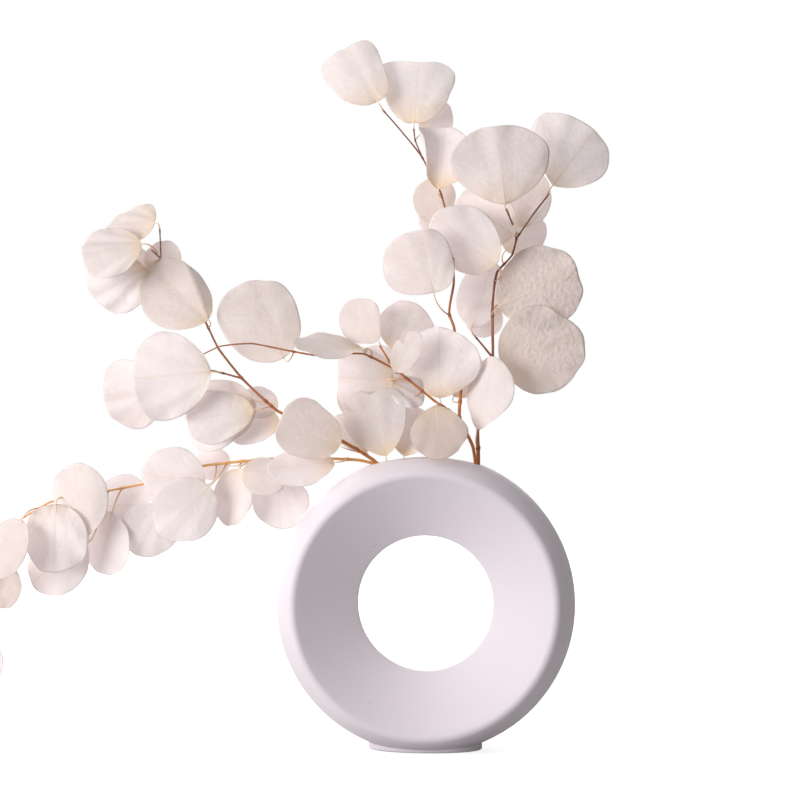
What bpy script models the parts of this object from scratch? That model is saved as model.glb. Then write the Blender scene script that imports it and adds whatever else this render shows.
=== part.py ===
"""Ring vase of matte ceramic with dried silver-dollar eucalyptus branches.

Frame: origin at the centre of the foot's flat underside, +Z up, +X to the right of the
ring's face, +Y from the front face to the back one. The hole of the ring runs along Y.
Lengths in the tables are millimetres and are turned into metres by MM.
"""

import math

import bmesh
import bpy
from mathutils import Matrix, Vector

MM = 0.001
SEAT = 0.6 * MM  # from a branch's bark to the middle of the stalk end seated on it
SLANT = 0.7  # how far back along its branch a stalk starts, as a share of its length
WELD = 0.01 * MM  # corners nearer than this become one

# Ring vase
RING_RADIUS = 100 * MM  # outermost radius, at the middle of the band
RING_CENTRE = 97.5 * MM  # height of the ring's centre, and half the height of the vase
BAND_ARC = 36 * MM  # radius of the bulging outer band
CREST_RADIUS = 86.5 * MM  # distance of the rounded edge's centre from the ring's centre
CREST_ARC = 4.5 * MM  # rounding of the edge between band and dish
THROAT_RADIUS = 45.3 * MM  # radius of the hole
THROAT_HALF = 3.0 * MM  # half the width of the flat land in the hole
LAND_LEAST = 0.4 * MM  # the same inside the wall, where the land almost comes to an edge
WALL = 4.3 * MM
RING_STEPS = 60
BAND_STEPS = 4  # straight pieces of each half of the band's arc
CREST_STEPS = 3  # straight pieces of each edge's arc
MOUTH_HALF = (38 * MM, 12.5 * MM)  # half-axes of the oval mouth along X and Y
MOUTH_DEPTH = 24 * MM
FOOT_HALF = (38 * MM, 18 * MM)  # half-axes of the oval foot along X and Y
FOOT_HEIGHT = 6 * MM
FOOT_BEVEL = 1.5 * MM
FOOT_SHOWS = 0.4 * MM  # how far the foot stands below the ring where the ring is cut flat
OVAL_SEGMENTS = 40
CUTTER_SIZE = 240 * MM  # edge of the cubes that cut the ring flat

# Leaves
LEAF_THICKNESS = 0.6 * MM
PETIOLE_HALF = 0.6 * MM  # half the width of a leaf's stalk
PETIOLE_ROWS = 2
BLADE_ROWS = 6
LEAF_COLUMNS = 4
ALONG_CUP = 0.6  # how much a blade bends along its midrib, beside its bend across

# Twigs
TWIG_SHARE = 0.85  # radius of a twig where it starts, as a share of the stem's there
TWIG_MOST = 0.95  # and the most that it may be, in millimetres

# Branches: radius at the cut end and at the tip, then the main stem's points (x, y, z) from
# the cut end inside the vase to the tip, then each side twig's points, which start on the stem.
BRANCHES = {
    "branch_right": {
        "radius": (1.9, 0.8),
        "stem": [
            (33, 0, 138.5), (35, 0, 165), (35.4, 0.6, 192), (35, 2, 213), (39, 4, 237), (45, 8, 262),
            (45, 10, 280), (45, 10, 299), (48, 12, 320), (58, 10, 331), (61, 7, 342), (54, -6, 361),
        ],
        "twigs": [
            [(61, 7, 342), (72, 6, 358), (83, 5, 372)],
            [(45, 8, 262), (37, 13, 272), (32, 17, 278)],
            [(39, 4, 237), (50, 0, 238), (56, -3, 244)],
        ],
    },
    "branch_centre": {
        "radius": (1.6, 0.7),
        "stem": [
            (19, -2, 149.5), (29, -4, 172), (33.5, -3.6, 192), (32, -6, 202), (23, -12, 222), (24, -5, 241),
            (19, -4, 283), (16, -2, 291), (19, 0, 312), (18, 3, 334), (14, 5, 359), (10, 4, 373),
            (3, 1, 386), (-2, 0, 396), (-20, -3, 418), (-29, -5, 428),
        ],
        "twigs": [
            [(-2, 0, 396), (-7, 2, 408), (-8, 3, 416)],
            [
                (23, -12, 222), (8, -16, 232), (-20, -18, 254), (-40, -19, 264), (-72, -19, 263),
                (-89, -19, 266), (-115, -19, 271), (-136, -19, 269), (-147, -18, 264),
            ],
            [(-20, -18, 254), (-25, -15, 262), (-30, -14, 270)],
        ],
    },
    "branch_left": {
        "radius": (1.7, 0.7),
        "stem": [
            (8, -2, 152.5), (-5, -4, 164), (-22, -4, 182), (-35, -4, 193.5), (-55, -8, 206), (-78, -10, 216),
            (-98, -11, 226), (-122, -12, 248), (-138, -11, 268), (-147, -9, 286), (-159, -7, 306),
            (-177, -8, 328),
        ],
        "twigs": [
            [(-122, -12, 248), (-142, -13, 253), (-172, -10, 244)],
            [(-177, -8, 328), (-183, -12, 334)],
            [(-177, -8, 328), (-178, -8, 349)],
        ],
    },
    "branch_low": {
        "radius": (1.4, 0.6),
        "stem": [
            (-18, 1, 148), (-25, 2, 172), (-34, 2, 190.5), (-44, 1, 193), (-61, 0, 194), (-104, -4, 194),
            (-151, -6, 189), (-186, -6, 178), (-220, -7, 171), (-252, -9, 165), (-276, -11, 150),
            (-296, -9, 128), (-310, -6, 108), (-316, -5, 90),
        ],
        "twigs": [],
    },
}

# Leaves: name, branch, foot of the blade (x, y, z), heading of the midrib in degrees from +X
# towards +Z, lean of the tip towards the front, turn of the right half towards the back,
# length, width, where along the length the blade is widest, cup of the blade, and crease along
# the midrib.
LEAVES = [
    ("leaf_crown_1", "branch_centre", (-31, -5, 432), 124, -14, 18, 52, 42, 0.62, 0.16, 0),
    ("leaf_crown_2", "branch_centre", (-8, 4, 420), 84, -10, 8, 46, 50, 0.66, 0.14, 0),
    ("leaf_crown_3", "branch_centre", (14, -6, 370), 97, 4, 30, 47, 35, 0.55, 0.1, 0.3),
    ("leaf_centre_1", "branch_centre", (13, 9, 357), 132, -12, -15, 32, 32, 0.52, 0.12, 0),
    ("leaf_centre_2", "branch_centre", (12, 19, 341), 100, -10, 20, 32, 29, 0.52, 0.12, 0),
    ("leaf_centre_3", "branch_centre", (6, -12, 304), 113, 10, -10, 46, 50, 0.52, 0.1, 0),
    ("leaf_right_1", "branch_right", (52, -12, 364), 94, 8, 5, 51, 66, 0.58, 0.12, 0),
    ("leaf_right_2", "branch_right", (84, 4, 379), 53, -12, 14, 54, 54, 0.56, 0.12, 0),
    ("leaf_right_3", "branch_right", (56, 3, 346), 155, 4, 14, 44, 43, 0.52, 0.12, 0),
    ("leaf_right_4", "branch_right", (63, 12, 348), 48, -10, -16, 41, 35, 0.5, 0.12, 0),
    ("leaf_right_5", "branch_right", (64, 19, 341), 12, -8, 14, 23, 31, 0.52, 0.12, 0),
    ("leaf_right_6", "branch_right", (51, 9, 324), 140, 5, -12, 40, 38, 0.52, 0.12, 0),
    ("leaf_right_7", "branch_right", (32, 17, 285), 82, -8, -28, 44, 32, 0.52, 0.1, 0),
    ("leaf_right_8", "branch_right", (50, 2, 298), 30, 3, -3, 58, 55, 0.52, 0.14, 0),
    ("leaf_right_9", "branch_right", (56, -5, 251), 41, 6, 10, 54, 57, 0.52, 0.14, 0),
    ("leaf_right_10", "branch_right", (35, -15, 215), 74, 4, -34, 48, 38, 0.56, 0.1, 0),
    ("leaf_arch_1", "branch_centre", (9, -10, 236), 88, 6, -6, 49, 55, 0.52, 0.14, 0),
    ("leaf_arch_2", "branch_centre", (-18, -21, 255), 66, 12, -30, 28, 23, 0.5, 0.1, 0.25),
    ("leaf_arch_3", "branch_centre", (-21, -6, 268), 66, -14, 12, 36, 37, 0.54, 0.14, 0),
    ("leaf_arch_4", "branch_centre", (-32, -14, 274), 132, -6, -20, 35, 32, 0.6, 0.12, 0),
    ("leaf_arch_5", "branch_centre", (-38, -24, 267), 173, 10, 74, 53, 36, 0.5, 0.05, 0),
    ("leaf_arch_6", "branch_centre", (-21, -8, 246), 178, -6, 12, 39, 41, 0.52, 0.1, 0),
    ("leaf_arch_7", "branch_centre", (-18, 9, 226), 150, -10, -14, 46, 39, 0.5, 0.12, 0),
    ("leaf_arch_8", "branch_centre", (8, -22, 231), 276, 6, 12, 37, 36, 0.52, 0.14, 0),
    ("leaf_arch_9", "branch_centre", (-91, -11, 262), 131, -6, 10, 57, 55, 0.52, 0.12, 0),
    ("leaf_left_1", "branch_left", (-25, -10, 198), 100, 6, 12, 47, 42, 0.54, 0.14, 0),
    ("leaf_left_2", "branch_left", (-14, -3, 196), 74, -5, -25, 34, 30, 0.54, 0.14, 0.1),
    ("leaf_left_3", "branch_low", (-40, 7, 198), 128, -8, 40, 33, 23, 0.52, 0.12, 0),
    ("leaf_left_4", "branch_left", (-59, -24, 197), 135, 8, -14, 50, 39, 0.52, 0.16, 0),
    ("leaf_left_5", "branch_left", (-99, -3, 217), 195, -6, 38, 38, 29, 0.5, 0.12, 0),
    ("leaf_left_6", "branch_left", (-113, -15, 224), 189, 6, -26, 41, 35, 0.54, 0.14, 0),
    ("leaf_left_7", "branch_left", (-125, -5, 239), 206, -8, 20, 46, 38, 0.52, 0.12, 0.25),
    ("leaf_left_8", "branch_left", (-141, -22, 253), 184, 8, 10, 53, 57, 0.52, 0.1, 0),
    ("leaf_left_9", "branch_left", (-179, -10, 240), 191, -8, -14, 39, 49, 0.5, 0.12, 0),
    ("leaf_left_10", "branch_left", (-144, -17, 287), 138, 6, 14, 60, 45, 0.5, 0.12, 0.22),
    ("leaf_left_11", "branch_left", (-187, -12, 323), 200, -6, -24, 40, 36, 0.52, 0.14, 0),
    ("leaf_left_12", "branch_left", (-187, -20, 338), 187, 8, 35, 39, 32, 0.52, 0.12, 0),
    ("leaf_left_13", "branch_left", (-178, -7, 356), 186, -10, 40, 39, 32, 0.55, 0.12, 0),
    ("leaf_low_1", "branch_low", (-60, -12, 192), 184, 6, 48, 44, 36, 0.52, 0.12, 0),
    ("leaf_low_2", "branch_low", (-99, -3, 181), 270, -8, 10, 35, 34, 0.48, 0.12, 0),
    ("leaf_low_3", "branch_low", (-121, -14, 186), 338, 8, -24, 32, 31, 0.5, 0.12, 0),
    ("leaf_low_4", "branch_low", (-125, -6, 187), 256, -4, 32, 39, 33, 0.5, 0.14, 0.1),
    ("leaf_low_5", "branch_low", (-147, -11, 177), 168, 4, -8, 41, 40, 0.5, 0.1, 0),
    ("leaf_low_6", "branch_low", (-143, -16, 175), 222, 6, 8, 43, 41, 0.5, 0.1, 0),
    ("leaf_low_7", "branch_low", (-177, -5, 162), 240, -6, -10, 37, 36, 0.5, 0.1, 0),
    ("leaf_low_8", "branch_low", (-187, 2, 166), 176, -10, 12, 35, 36, 0.5, 0.1, 0),
    ("leaf_low_9", "branch_low", (-213, -14, 153), 123, 6, -14, 45, 36, 0.5, 0.1, 0),
    ("leaf_low_10", "branch_low", (-213, -3, 157), 255, -8, 30, 40, 29, 0.5, 0.1, 0),
    ("leaf_low_11", "branch_low", (-248, -18, 163), 264, 6, -8, 44, 41, 0.5, 0.12, 0),
    ("leaf_low_12", "branch_low", (-233, -3, 140), 216, -8, 16, 48, 40, 0.5, 0.12, 0),
    ("leaf_low_13", "branch_low", (-267, -26, 154), 240, 4, 26, 43, 34, 0.5, 0.12, 0),
    ("leaf_low_14", "branch_low", (-276, -7, 119), 228, -8, 16, 31, 30, 0.5, 0.12, 0),
    ("leaf_low_15", "branch_low", (-294, -12, 111), 200, 6, -12, 37, 35, 0.5, 0.12, 0),
    ("leaf_low_16", "branch_low", (-298, -6, 74), 265, -6, 24, 35, 32, 0.5, 0.12, 0),
    ("leaf_low_17", "branch_low", (-318, -4, 83), 215, 6, -18, 36, 35, 0.5, 0.12, 0),
]


# ---------------------------------------------------------------- scene helpers


def clear_scene():
    for old in list(bpy.data.objects):
        bpy.data.objects.remove(old, do_unlink=True)


def new_collection(name):
    collection = bpy.data.collections.new(name)
    bpy.context.scene.collection.children.link(collection)
    return collection


def new_material(name, colour, roughness):
    material = bpy.data.materials.new(name)
    material.use_nodes = True
    shader = material.node_tree.nodes["Principled BSDF"]
    shader.inputs["Base Color"].default_value = (*colour, 1.0)
    shader.inputs["Roughness"].default_value = roughness
    shader.inputs["Metallic"].default_value = 0.0
    material.diffuse_color = (*colour, 1.0)
    return material


def mesh_object(name, work, collection, material=None, smooth=False):
    """An object holding a bmesh, which is freed."""
    mesh = bpy.data.meshes.new(name)
    work.to_mesh(mesh)
    work.free()
    if smooth:
        mesh.shade_smooth()
    if material:
        mesh.materials.append(material)
    made = bpy.data.objects.new(name, mesh)
    collection.objects.link(made)
    return made


def as_cutter(made):
    made.hide_render = True
    made.display_type = "WIRE"
    return made


def add_boolean(target, operand, operation):
    cut = target.modifiers.new(f"{operation.lower()}_{operand.name}", "BOOLEAN")
    cut.operation = operation
    cut.solver = "EXACT"
    cut.object = operand


# ---------------------------------------------------------------- vase


def ring_section(inset):
    """Closed outline (radius, depth) of the ring's wall, moved inwards by inset."""
    band_centre = RING_RADIUS - BAND_ARC
    band = BAND_ARC - inset
    crest = max(CREST_ARC - inset, 0)
    crest_depth = math.sqrt((BAND_ARC - CREST_ARC) ** 2 - (CREST_RADIUS - band_centre) ** 2)
    meet = math.atan2(crest_depth, CREST_RADIUS - band_centre)

    # The dish's straight side touches the outer throat corner and the crest's arc.
    across = CREST_RADIUS - THROAT_RADIUS
    deep = crest_depth - THROAT_HALF
    slope = math.atan2(deep, across) + math.asin(CREST_ARC / math.hypot(across, deep))
    normal = slope + math.pi / 2
    throat = THROAT_RADIUS + inset
    along = (inset - inset * math.cos(normal + math.pi)) / math.sin(normal)
    throat_half = THROAT_HALF - along if inset else THROAT_HALF

    half = [
        (band_centre + band * math.cos(meet * i / BAND_STEPS), band * math.sin(meet * i / BAND_STEPS))
        for i in range(BAND_STEPS + 1)
    ]
    if crest > 0:
        half += [
            (
                CREST_RADIUS + crest * math.cos(meet + (normal - meet) * i / CREST_STEPS),
                crest_depth + crest * math.sin(meet + (normal - meet) * i / CREST_STEPS),
            )
            for i in range(1, CREST_STEPS + 1)
        ]
    half.append((throat, max(throat_half, LAND_LEAST)))
    back = [(radius, -depth) for radius, depth in reversed(half[1:])]
    return half[::-1] + back[::-1]


def ring_solid(name, inset, collection, material=None):
    """The section turned about the hole's axis, which a Screw modifier takes as local Z."""
    section = ring_section(inset)
    work = bmesh.new()
    corners = [work.verts.new((radius, 0, depth)) for radius, depth in section]
    for start, end in zip(corners, corners[1:] + corners[:1]):
        work.edges.new((start, end))
    made = mesh_object(name, work, collection, material)
    made.rotation_euler = (math.radians(90), 0, 0)
    made.location = (0, 0, RING_CENTRE)
    turn = made.modifiers.new("turn", "SCREW")
    turn.steps = turn.render_steps = RING_STEPS
    turn.use_merge_vertices = True
    turn.merge_threshold = WELD
    turn.use_smooth_shade = True
    return made


def oval_solid(name, half_axes, bottom, top, collection):
    work = bmesh.new()
    bmesh.ops.create_cone(
        work,
        cap_ends=True,
        segments=OVAL_SEGMENTS,
        radius1=1.0,
        radius2=1.0,
        depth=top - bottom,
    )
    bmesh.ops.scale(work, vec=(half_axes[0], half_axes[1], 1.0), verts=work.verts)
    bmesh.ops.translate(work, vec=(0, 0, (top + bottom) / 2), verts=work.verts)
    return as_cutter(mesh_object(name, work, collection))


def cube_solid(name, height, collection):
    work = bmesh.new()
    bmesh.ops.create_cube(work, size=CUTTER_SIZE, matrix=Matrix.Translation((0, 0, height)))
    return as_cutter(mesh_object(name, work, collection))


def build_vase(parts, cutters, material):
    vase = ring_solid("ring_vase", 0.0, parts, material)
    hollow = as_cutter(ring_solid("cut_hollow", WALL, cutters))
    foot = oval_solid("add_foot", FOOT_HALF, 0.0, FOOT_HEIGHT, cutters)
    rim = foot.modifiers.new("rounded_edge", "BEVEL")
    rim.width = FOOT_BEVEL
    rim.segments = 2
    rim.limit_method = "ANGLE"
    top = 2 * RING_CENTRE
    floor = cube_solid("cut_below_ring", FOOT_SHOWS - CUTTER_SIZE / 2, cutters)
    lid = cube_solid("cut_above_rim", top + CUTTER_SIZE / 2, cutters)
    mouth = oval_solid("cut_mouth", MOUTH_HALF, top - MOUTH_DEPTH, top + MOUTH_DEPTH, cutters)
    add_boolean(vase, hollow, "DIFFERENCE")
    add_boolean(vase, floor, "DIFFERENCE")
    add_boolean(vase, foot, "UNION")
    add_boolean(vase, lid, "DIFFERENCE")
    add_boolean(vase, mouth, "DIFFERENCE")
    return vase


# ---------------------------------------------------------------- branches


def tube_mesh(name, points, radii, collection, material=None):
    """A tapering tube through points, as a closed mesh object."""
    curve = bpy.data.curves.new(name, "CURVE")
    curve.dimensions = "3D"
    curve.bevel_depth = MM
    curve.bevel_resolution = 2
    curve.render_resolution_u = 0
    curve.use_fill_caps = True
    spline = curve.splines.new("POLY")
    spline.points.add(len(points) - 1)
    for point, place, radius in zip(spline.points, points, radii):
        point.co = (*(Vector(place) * MM), 1.0)
        point.radius = radius
    drawn = bpy.data.objects.new(f"{name}_line", curve)
    collection.objects.link(drawn)
    bpy.context.view_layer.update()
    shape = drawn.evaluated_get(bpy.context.evaluated_depsgraph_get())
    mesh = bpy.data.meshes.new_from_object(shape)
    work = bmesh.new()
    work.from_mesh(mesh)
    bmesh.ops.remove_doubles(work, verts=work.verts, dist=WELD)
    made = mesh_object(name, work, collection, material, smooth=True)
    made.matrix_world = drawn.matrix_world.copy()
    bpy.data.meshes.remove(mesh)
    bpy.data.objects.remove(drawn, do_unlink=True)
    bpy.data.curves.remove(curve)
    return made


def stem_radii(points, thick, thin):
    """Radius at each point, falling evenly with the length walked from the first one."""
    steps = [0.0]
    for start, end in zip(points, points[1:]):
        steps.append(steps[-1] + (Vector(end) - Vector(start)).length)
    return [thick + (thin - thick) * step / steps[-1] for step in steps]


def branch_lines(spec):
    """Every run of points of a branch, the stem first, each with its radii."""
    thick, thin = spec["radius"]
    stem = stem_radii(spec["stem"], thick, thin)
    lines = [(spec["stem"], stem)]
    for twig in spec["twigs"]:
        spots = [(Vector(twig[0]) - Vector(point)).length for point in spec["stem"]]
        thickness = min(TWIG_SHARE * stem[spots.index(min(spots))], TWIG_MOST)
        lines.append((twig, stem_radii(twig, thickness, thin)))
    return lines


def build_branch(name, spec, parts, cutters, material):
    lines = branch_lines(spec)
    branch = tube_mesh(name, *lines[0], parts, material)
    for number, (points, radii) in enumerate(lines[1:], start=1):
        twig = as_cutter(tube_mesh(f"{name}_twig_{number}", points, radii, cutters))
        add_boolean(branch, twig, "UNION")
    return branch


def stalk_root(spec, foot):
    """Where the stalk of a leaf starts, beside the branch's bark: SLANT times its own length
    nearer to the cut end than the point of the branch nearest to the blade's foot."""
    found = None
    for points, radii in branch_lines(spec):
        walked = 0.0
        for number, (start, end) in enumerate(zip(points, points[1:])):
            start, run = Vector(start), Vector(end) - Vector(start)
            share = min(max((foot - start).dot(run) / run.length_squared, 0.0), 1.0)
            away = (foot - start - share * run).length
            if found is None or away < found[0]:
                at_tip = number == len(points) - 2 and share == 1.0
                found = (away, points, radii, walked + share * run.length, at_tip)
            walked += run.length
    away, points, radii, walked, at_tip = found
    if not at_tip:
        walked = max(walked - SLANT * away, 0.0)
    for number, (start, end) in enumerate(zip(points, points[1:])):
        start, run = Vector(start), Vector(end) - Vector(start)
        if walked <= run.length or number == len(points) - 2:
            break
        walked -= run.length
    share = min(walked / run.length, 1.0)
    spot = start + share * run
    radius = radii[number] + share * (radii[number + 1] - radii[number])
    reach = foot - spot
    if at_tip:
        bark = radius * math.sin(reach.angle(run))
        return spot + reach.normalized() * (bark + SEAT / MM)
    outward = reach - reach.project(run)
    return spot + outward.normalized() * (radius + SEAT / MM)


# ---------------------------------------------------------------- leaves


def leaf_axes(heading, lean, turn):
    """Unit vectors along the midrib, across the blade, and out of its front."""
    heading, lean, turn = (math.radians(angle) for angle in (heading, lean, turn))
    along = Vector(
        (math.cos(heading) * math.cos(lean), -math.sin(lean), math.sin(heading) * math.cos(lean))
    )
    front = Vector((0, -1, 0))
    front = (front - front.dot(along) * along).normalized()
    across = along.cross(front)
    turned = math.cos(turn) * across - math.sin(turn) * front
    return along, turned, math.cos(turn) * front + math.sin(turn) * across


def blade_row(row, length, width, widest):
    """How far along the blade a row lies, and half its width there: a circle whose
    widest place is moved along the midrib."""
    swing = math.pi * row / BLADE_ROWS
    share = ((1 - math.cos(swing)) / 2) ** (math.log(widest) / math.log(0.5))
    return length * share, width / 2 * math.sin(swing)


def build_leaf(leaf, parts, material):
    name, branch, foot, heading, lean, turn, length, width, widest, cup, crease = leaf
    along, across, front = leaf_axes(heading, lean, turn)
    foot = Vector(foot)
    root = stalk_root(BRANCHES[branch], foot)
    bend = foot - along * (foot - root).length / 2

    work = bmesh.new()
    rows = PETIOLE_ROWS + BLADE_ROWS
    bmesh.ops.create_grid(work, x_segments=LEAF_COLUMNS, y_segments=rows, size=1.0)
    for vert in work.verts:
        side = vert.co.x
        row = round((vert.co.y + 1) / 2 * rows)
        if row <= PETIOLE_ROWS:
            share = row / PETIOLE_ROWS
            centre = root.lerp(bend, share).lerp(bend.lerp(foot, share), share)
            run = bend.lerp(foot, share) - root.lerp(bend, share)
            sideways = run.cross(front).normalized()
            place = centre + sideways * side * PETIOLE_HALF / MM
        else:
            step, half = blade_row(row - PETIOLE_ROWS, length, width, widest)
            out = side * half
            sag = cup * width / 2 * ((2 * out / width) ** 2 + ALONG_CUP * (step / length) ** 2)
            place = foot + along * step + across * out + front * (crease * abs(out) - sag)
        vert.co = place * MM
    bmesh.ops.remove_doubles(work, verts=work.verts, dist=WELD)
    made = mesh_object(name, work, parts, material, smooth=True)
    shell = made.modifiers.new("thickness", "SOLIDIFY")
    shell.thickness = LEAF_THICKNESS
    shell.offset = 0.0
    return made


# ---------------------------------------------------------------- build


def main():
    clear_scene()
    parts = new_collection("ring_vase_with_eucalyptus")
    cutters = new_collection("cutters")
    ceramic = new_material("matte_ceramic", (0.86, 0.80, 0.83), 0.6)
    bark = new_material("dry_stem", (0.36, 0.15, 0.07), 0.6)
    build_vase(parts, cutters, ceramic)
    for name, spec in BRANCHES.items():
        build_branch(name, spec, parts, cutters, bark)
    blade = new_material("dried_leaf", (0.83, 0.74, 0.66), 0.7)
    for leaf in LEAVES:
        build_leaf(leaf, parts, blade)


main()
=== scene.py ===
# %% [markdown]
# # A ring vase with dried silver-dollar eucalyptus
#
# A matte ceramic vase, shaped like a thick ring, stands on a small oval foot. Four branches of
# bleached silver-dollar eucalyptus lean out of the oval mouth on its top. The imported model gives
# every solid its place and size. This notebook dresses it: a smoother ring with a real lip, stems
# with bark and nodes, and leaves that are cupped, wavy and veined.
#
# Lengths are metres. A length that is written in millimetres is multiplied by `MM`.

import math

import bpy
import numpy as np
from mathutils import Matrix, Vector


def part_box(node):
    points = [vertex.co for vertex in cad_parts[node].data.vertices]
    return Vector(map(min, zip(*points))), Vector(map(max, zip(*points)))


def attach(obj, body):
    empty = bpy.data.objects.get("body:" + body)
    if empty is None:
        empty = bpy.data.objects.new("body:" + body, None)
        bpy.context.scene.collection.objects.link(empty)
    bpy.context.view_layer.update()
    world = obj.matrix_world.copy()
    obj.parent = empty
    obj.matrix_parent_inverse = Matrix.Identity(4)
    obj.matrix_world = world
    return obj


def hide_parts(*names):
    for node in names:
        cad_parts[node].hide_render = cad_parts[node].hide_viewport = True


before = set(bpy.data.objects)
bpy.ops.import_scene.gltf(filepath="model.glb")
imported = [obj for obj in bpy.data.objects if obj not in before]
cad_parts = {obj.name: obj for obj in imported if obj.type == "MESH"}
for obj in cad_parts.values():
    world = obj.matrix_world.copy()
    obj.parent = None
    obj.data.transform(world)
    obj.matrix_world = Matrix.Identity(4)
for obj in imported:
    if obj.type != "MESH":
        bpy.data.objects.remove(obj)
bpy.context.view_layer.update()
MM = 0.001

# %% [markdown]
# ## From arrays to a mesh
#
# Each new piece is a surface: a grid of points worked out as one numpy array. Two grid
# directions give the points, and the faces only say which neighbours make a four-cornered
# patch. Blender could build such shapes with primitives and sculpting too, but a formula keeps
# every curve smooth, and each size stays a number that can be changed.


# %% Faces of a grid
def grid_faces(rows, columns, closed_rows=False, closed_columns=False):
    """Corner numbers of the patches between neighbouring points of a grid of rows by columns.
    A closed direction joins its last line of points to its first."""
    row = np.arange(rows if closed_rows else rows - 1)[:, None]
    column = np.arange(columns if closed_columns else columns - 1)[None, :]
    next_row, next_column = (row + 1) % rows, (column + 1) % columns
    corners = (
        row * columns + column,
        next_row * columns + column,
        next_row * columns + next_column,
        row * columns + next_column,
    )
    return np.stack(corners, axis=-1)


print("a grid of 3 by 4 points has", grid_faces(3, 4).reshape(-1, 4).shape[0], "faces")


# %% One object from points and faces
def surface_piece(name, points, faces, finishes, finish_numbers=None, values=None, flat_map=None):
    """A smooth-shaded mesh object at the origin. values holds one named number for each point,
    and flat_map the place of each point on a flat drawing of the surface."""
    mesh = bpy.data.meshes.new(name)
    mesh.from_pydata(points.tolist(), [], [list(face) for face in faces])
    for finish in finishes:
        mesh.materials.append(finish)
    if finish_numbers is not None:
        mesh.polygons.foreach_set("material_index", np.asarray(finish_numbers, dtype=np.int32))
    for title, numbers in (values or {}).items():
        layer = mesh.attributes.new(title, "FLOAT", "POINT")
        layer.data.foreach_set("value", np.asarray(numbers, dtype=np.float32))
    if flat_map is not None:
        corner = np.zeros(len(mesh.loops), dtype=np.int32)
        mesh.loops.foreach_get("vertex_index", corner)
        layer = mesh.uv_layers.new(name="blade")
        layer.data.foreach_set("uv", flat_map[corner].astype(np.float32).ravel())
    mesh.shade_smooth()
    piece = bpy.data.objects.new(name, mesh)
    bpy.context.scene.collection.objects.link(piece)
    return piece


# %% [markdown]
# ## Finishes: two shared effects
#
# A finish is drawn with shader nodes, so it has no seams and any resolution. Two effects come
# back in several finishes, and each is a node group with its own inputs. `mottle` gives the
# soft cloudy change of shade that fired clay, bark and dry leaf all have. `fine_grain` gives
# the height of a fine surface texture, which a Bump node turns into tilted light.


# %% Helpers for shader nodes
def feed(tree, socket, value):
    """Links a socket to an output, or gives it a number, a place or a colour."""
    if isinstance(value, bpy.types.NodeSocket):
        tree.links.new(value, socket)
    else:
        socket.default_value = (*value, 1.0) if socket.type == "RGBA" else value


def add_node(tree, kind, settings=None, **inputs):
    """A node of a kind, with its own settings and what its named inputs are fed."""
    made = tree.nodes.new(kind)
    for title, value in (settings or {}).items():
        setattr(made, title, value)
    for title, value in inputs.items():
        feed(tree, made.inputs[title.replace("_", " ")], value)
    return made


def calculate(tree, operation, *values, clamp=False):
    """The output of a Math node whose inputs are sockets or plain numbers."""
    made = add_node(tree, "ShaderNodeMath", {"operation": operation, "use_clamp": clamp})
    for socket, value in zip(made.inputs, values):
        feed(tree, socket, value)
    return made.outputs[0]


def blend_colours(tree, share, first, second):
    """The output colour of a Mix node between two colours, each a socket or a tuple."""
    made = add_node(tree, "ShaderNodeMix", {"data_type": "RGBA"})
    for number, value in ((0, share), (6, first), (7, second)):
        feed(tree, made.inputs[number], value)
    return made.outputs[2]


def rescale(tree, value, low, high, new_low, new_high):
    """The output of a Map Range node that takes low..high to new_low..new_high."""
    ends = {"From_Min": low, "From_Max": high, "To_Min": new_low, "To_Max": new_high}
    return add_node(tree, "ShaderNodeMapRange", Value=value, **ends).outputs["Result"]


def distance_from(tree, place, point):
    """How far a place is from a fixed point."""
    made = add_node(tree, "ShaderNodeVectorMath", {"operation": "DISTANCE"}, Vector=place)
    made.inputs[1].default_value = point
    return made.outputs["Value"]


def object_place(tree):
    """Each point's place on its own object, in metres."""
    return add_node(tree, "ShaderNodeTexCoord").outputs["Object"]


def point_value(tree, title):
    """A number that the mesh holds for each of its points."""
    return add_node(tree, "ShaderNodeAttribute", {"attribute_name": title}).outputs["Fac"]


HELPERS = (feed, add_node, calculate, blend_colours, rescale, distance_from, object_place)
print("node helpers:", ", ".join(helper.__name__ for helper in (*HELPERS, point_value)))


# %% Helpers for groups and finishes
def new_group(name, inputs, outputs):
    """A node group with a Vector and named numbers going in, and named numbers coming out."""
    group = bpy.data.node_groups.new(name, "ShaderNodeTree")
    vector, number = "NodeSocketVector", "NodeSocketFloat"
    group.interface.new_socket("Vector", in_out="INPUT", socket_type=vector)
    for title, value in inputs.items():
        socket = group.interface.new_socket(title, in_out="INPUT", socket_type=number)
        socket.default_value = value
    for title in outputs:
        group.interface.new_socket(title, in_out="OUTPUT", socket_type=number)
    entry, leave = group.nodes.new("NodeGroupInput"), group.nodes.new("NodeGroupOutput")
    return group, entry.outputs, leave.inputs


def place_group(tree, group, vector, **inputs):
    """A group's node in a tree, with its own Vector and numbers."""
    return add_node(tree, "ShaderNodeGroup", {"node_tree": group}, Vector=vector, **inputs)


def new_finish(name, roughness, specular):
    """A material with only a Principled BSDF, and its node tree."""
    finish = bpy.data.materials.new(name)
    finish.use_nodes = True
    shader = finish.node_tree.nodes["Principled BSDF"]
    shader.inputs["Roughness"].default_value = roughness
    shader.inputs["Specular IOR Level"].default_value = specular
    return finish, finish.node_tree, shader


def raise_surface(tree, shader, height, strength, depth):
    """Tilts the light on a finish by a height from 0 to 1 that stands for a depth in metres."""
    bump = add_node(tree, "ShaderNodeBump", Strength=strength, Distance=depth, Height=height)
    feed(tree, shader.inputs["Normal"], bump.outputs["Normal"])


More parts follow.
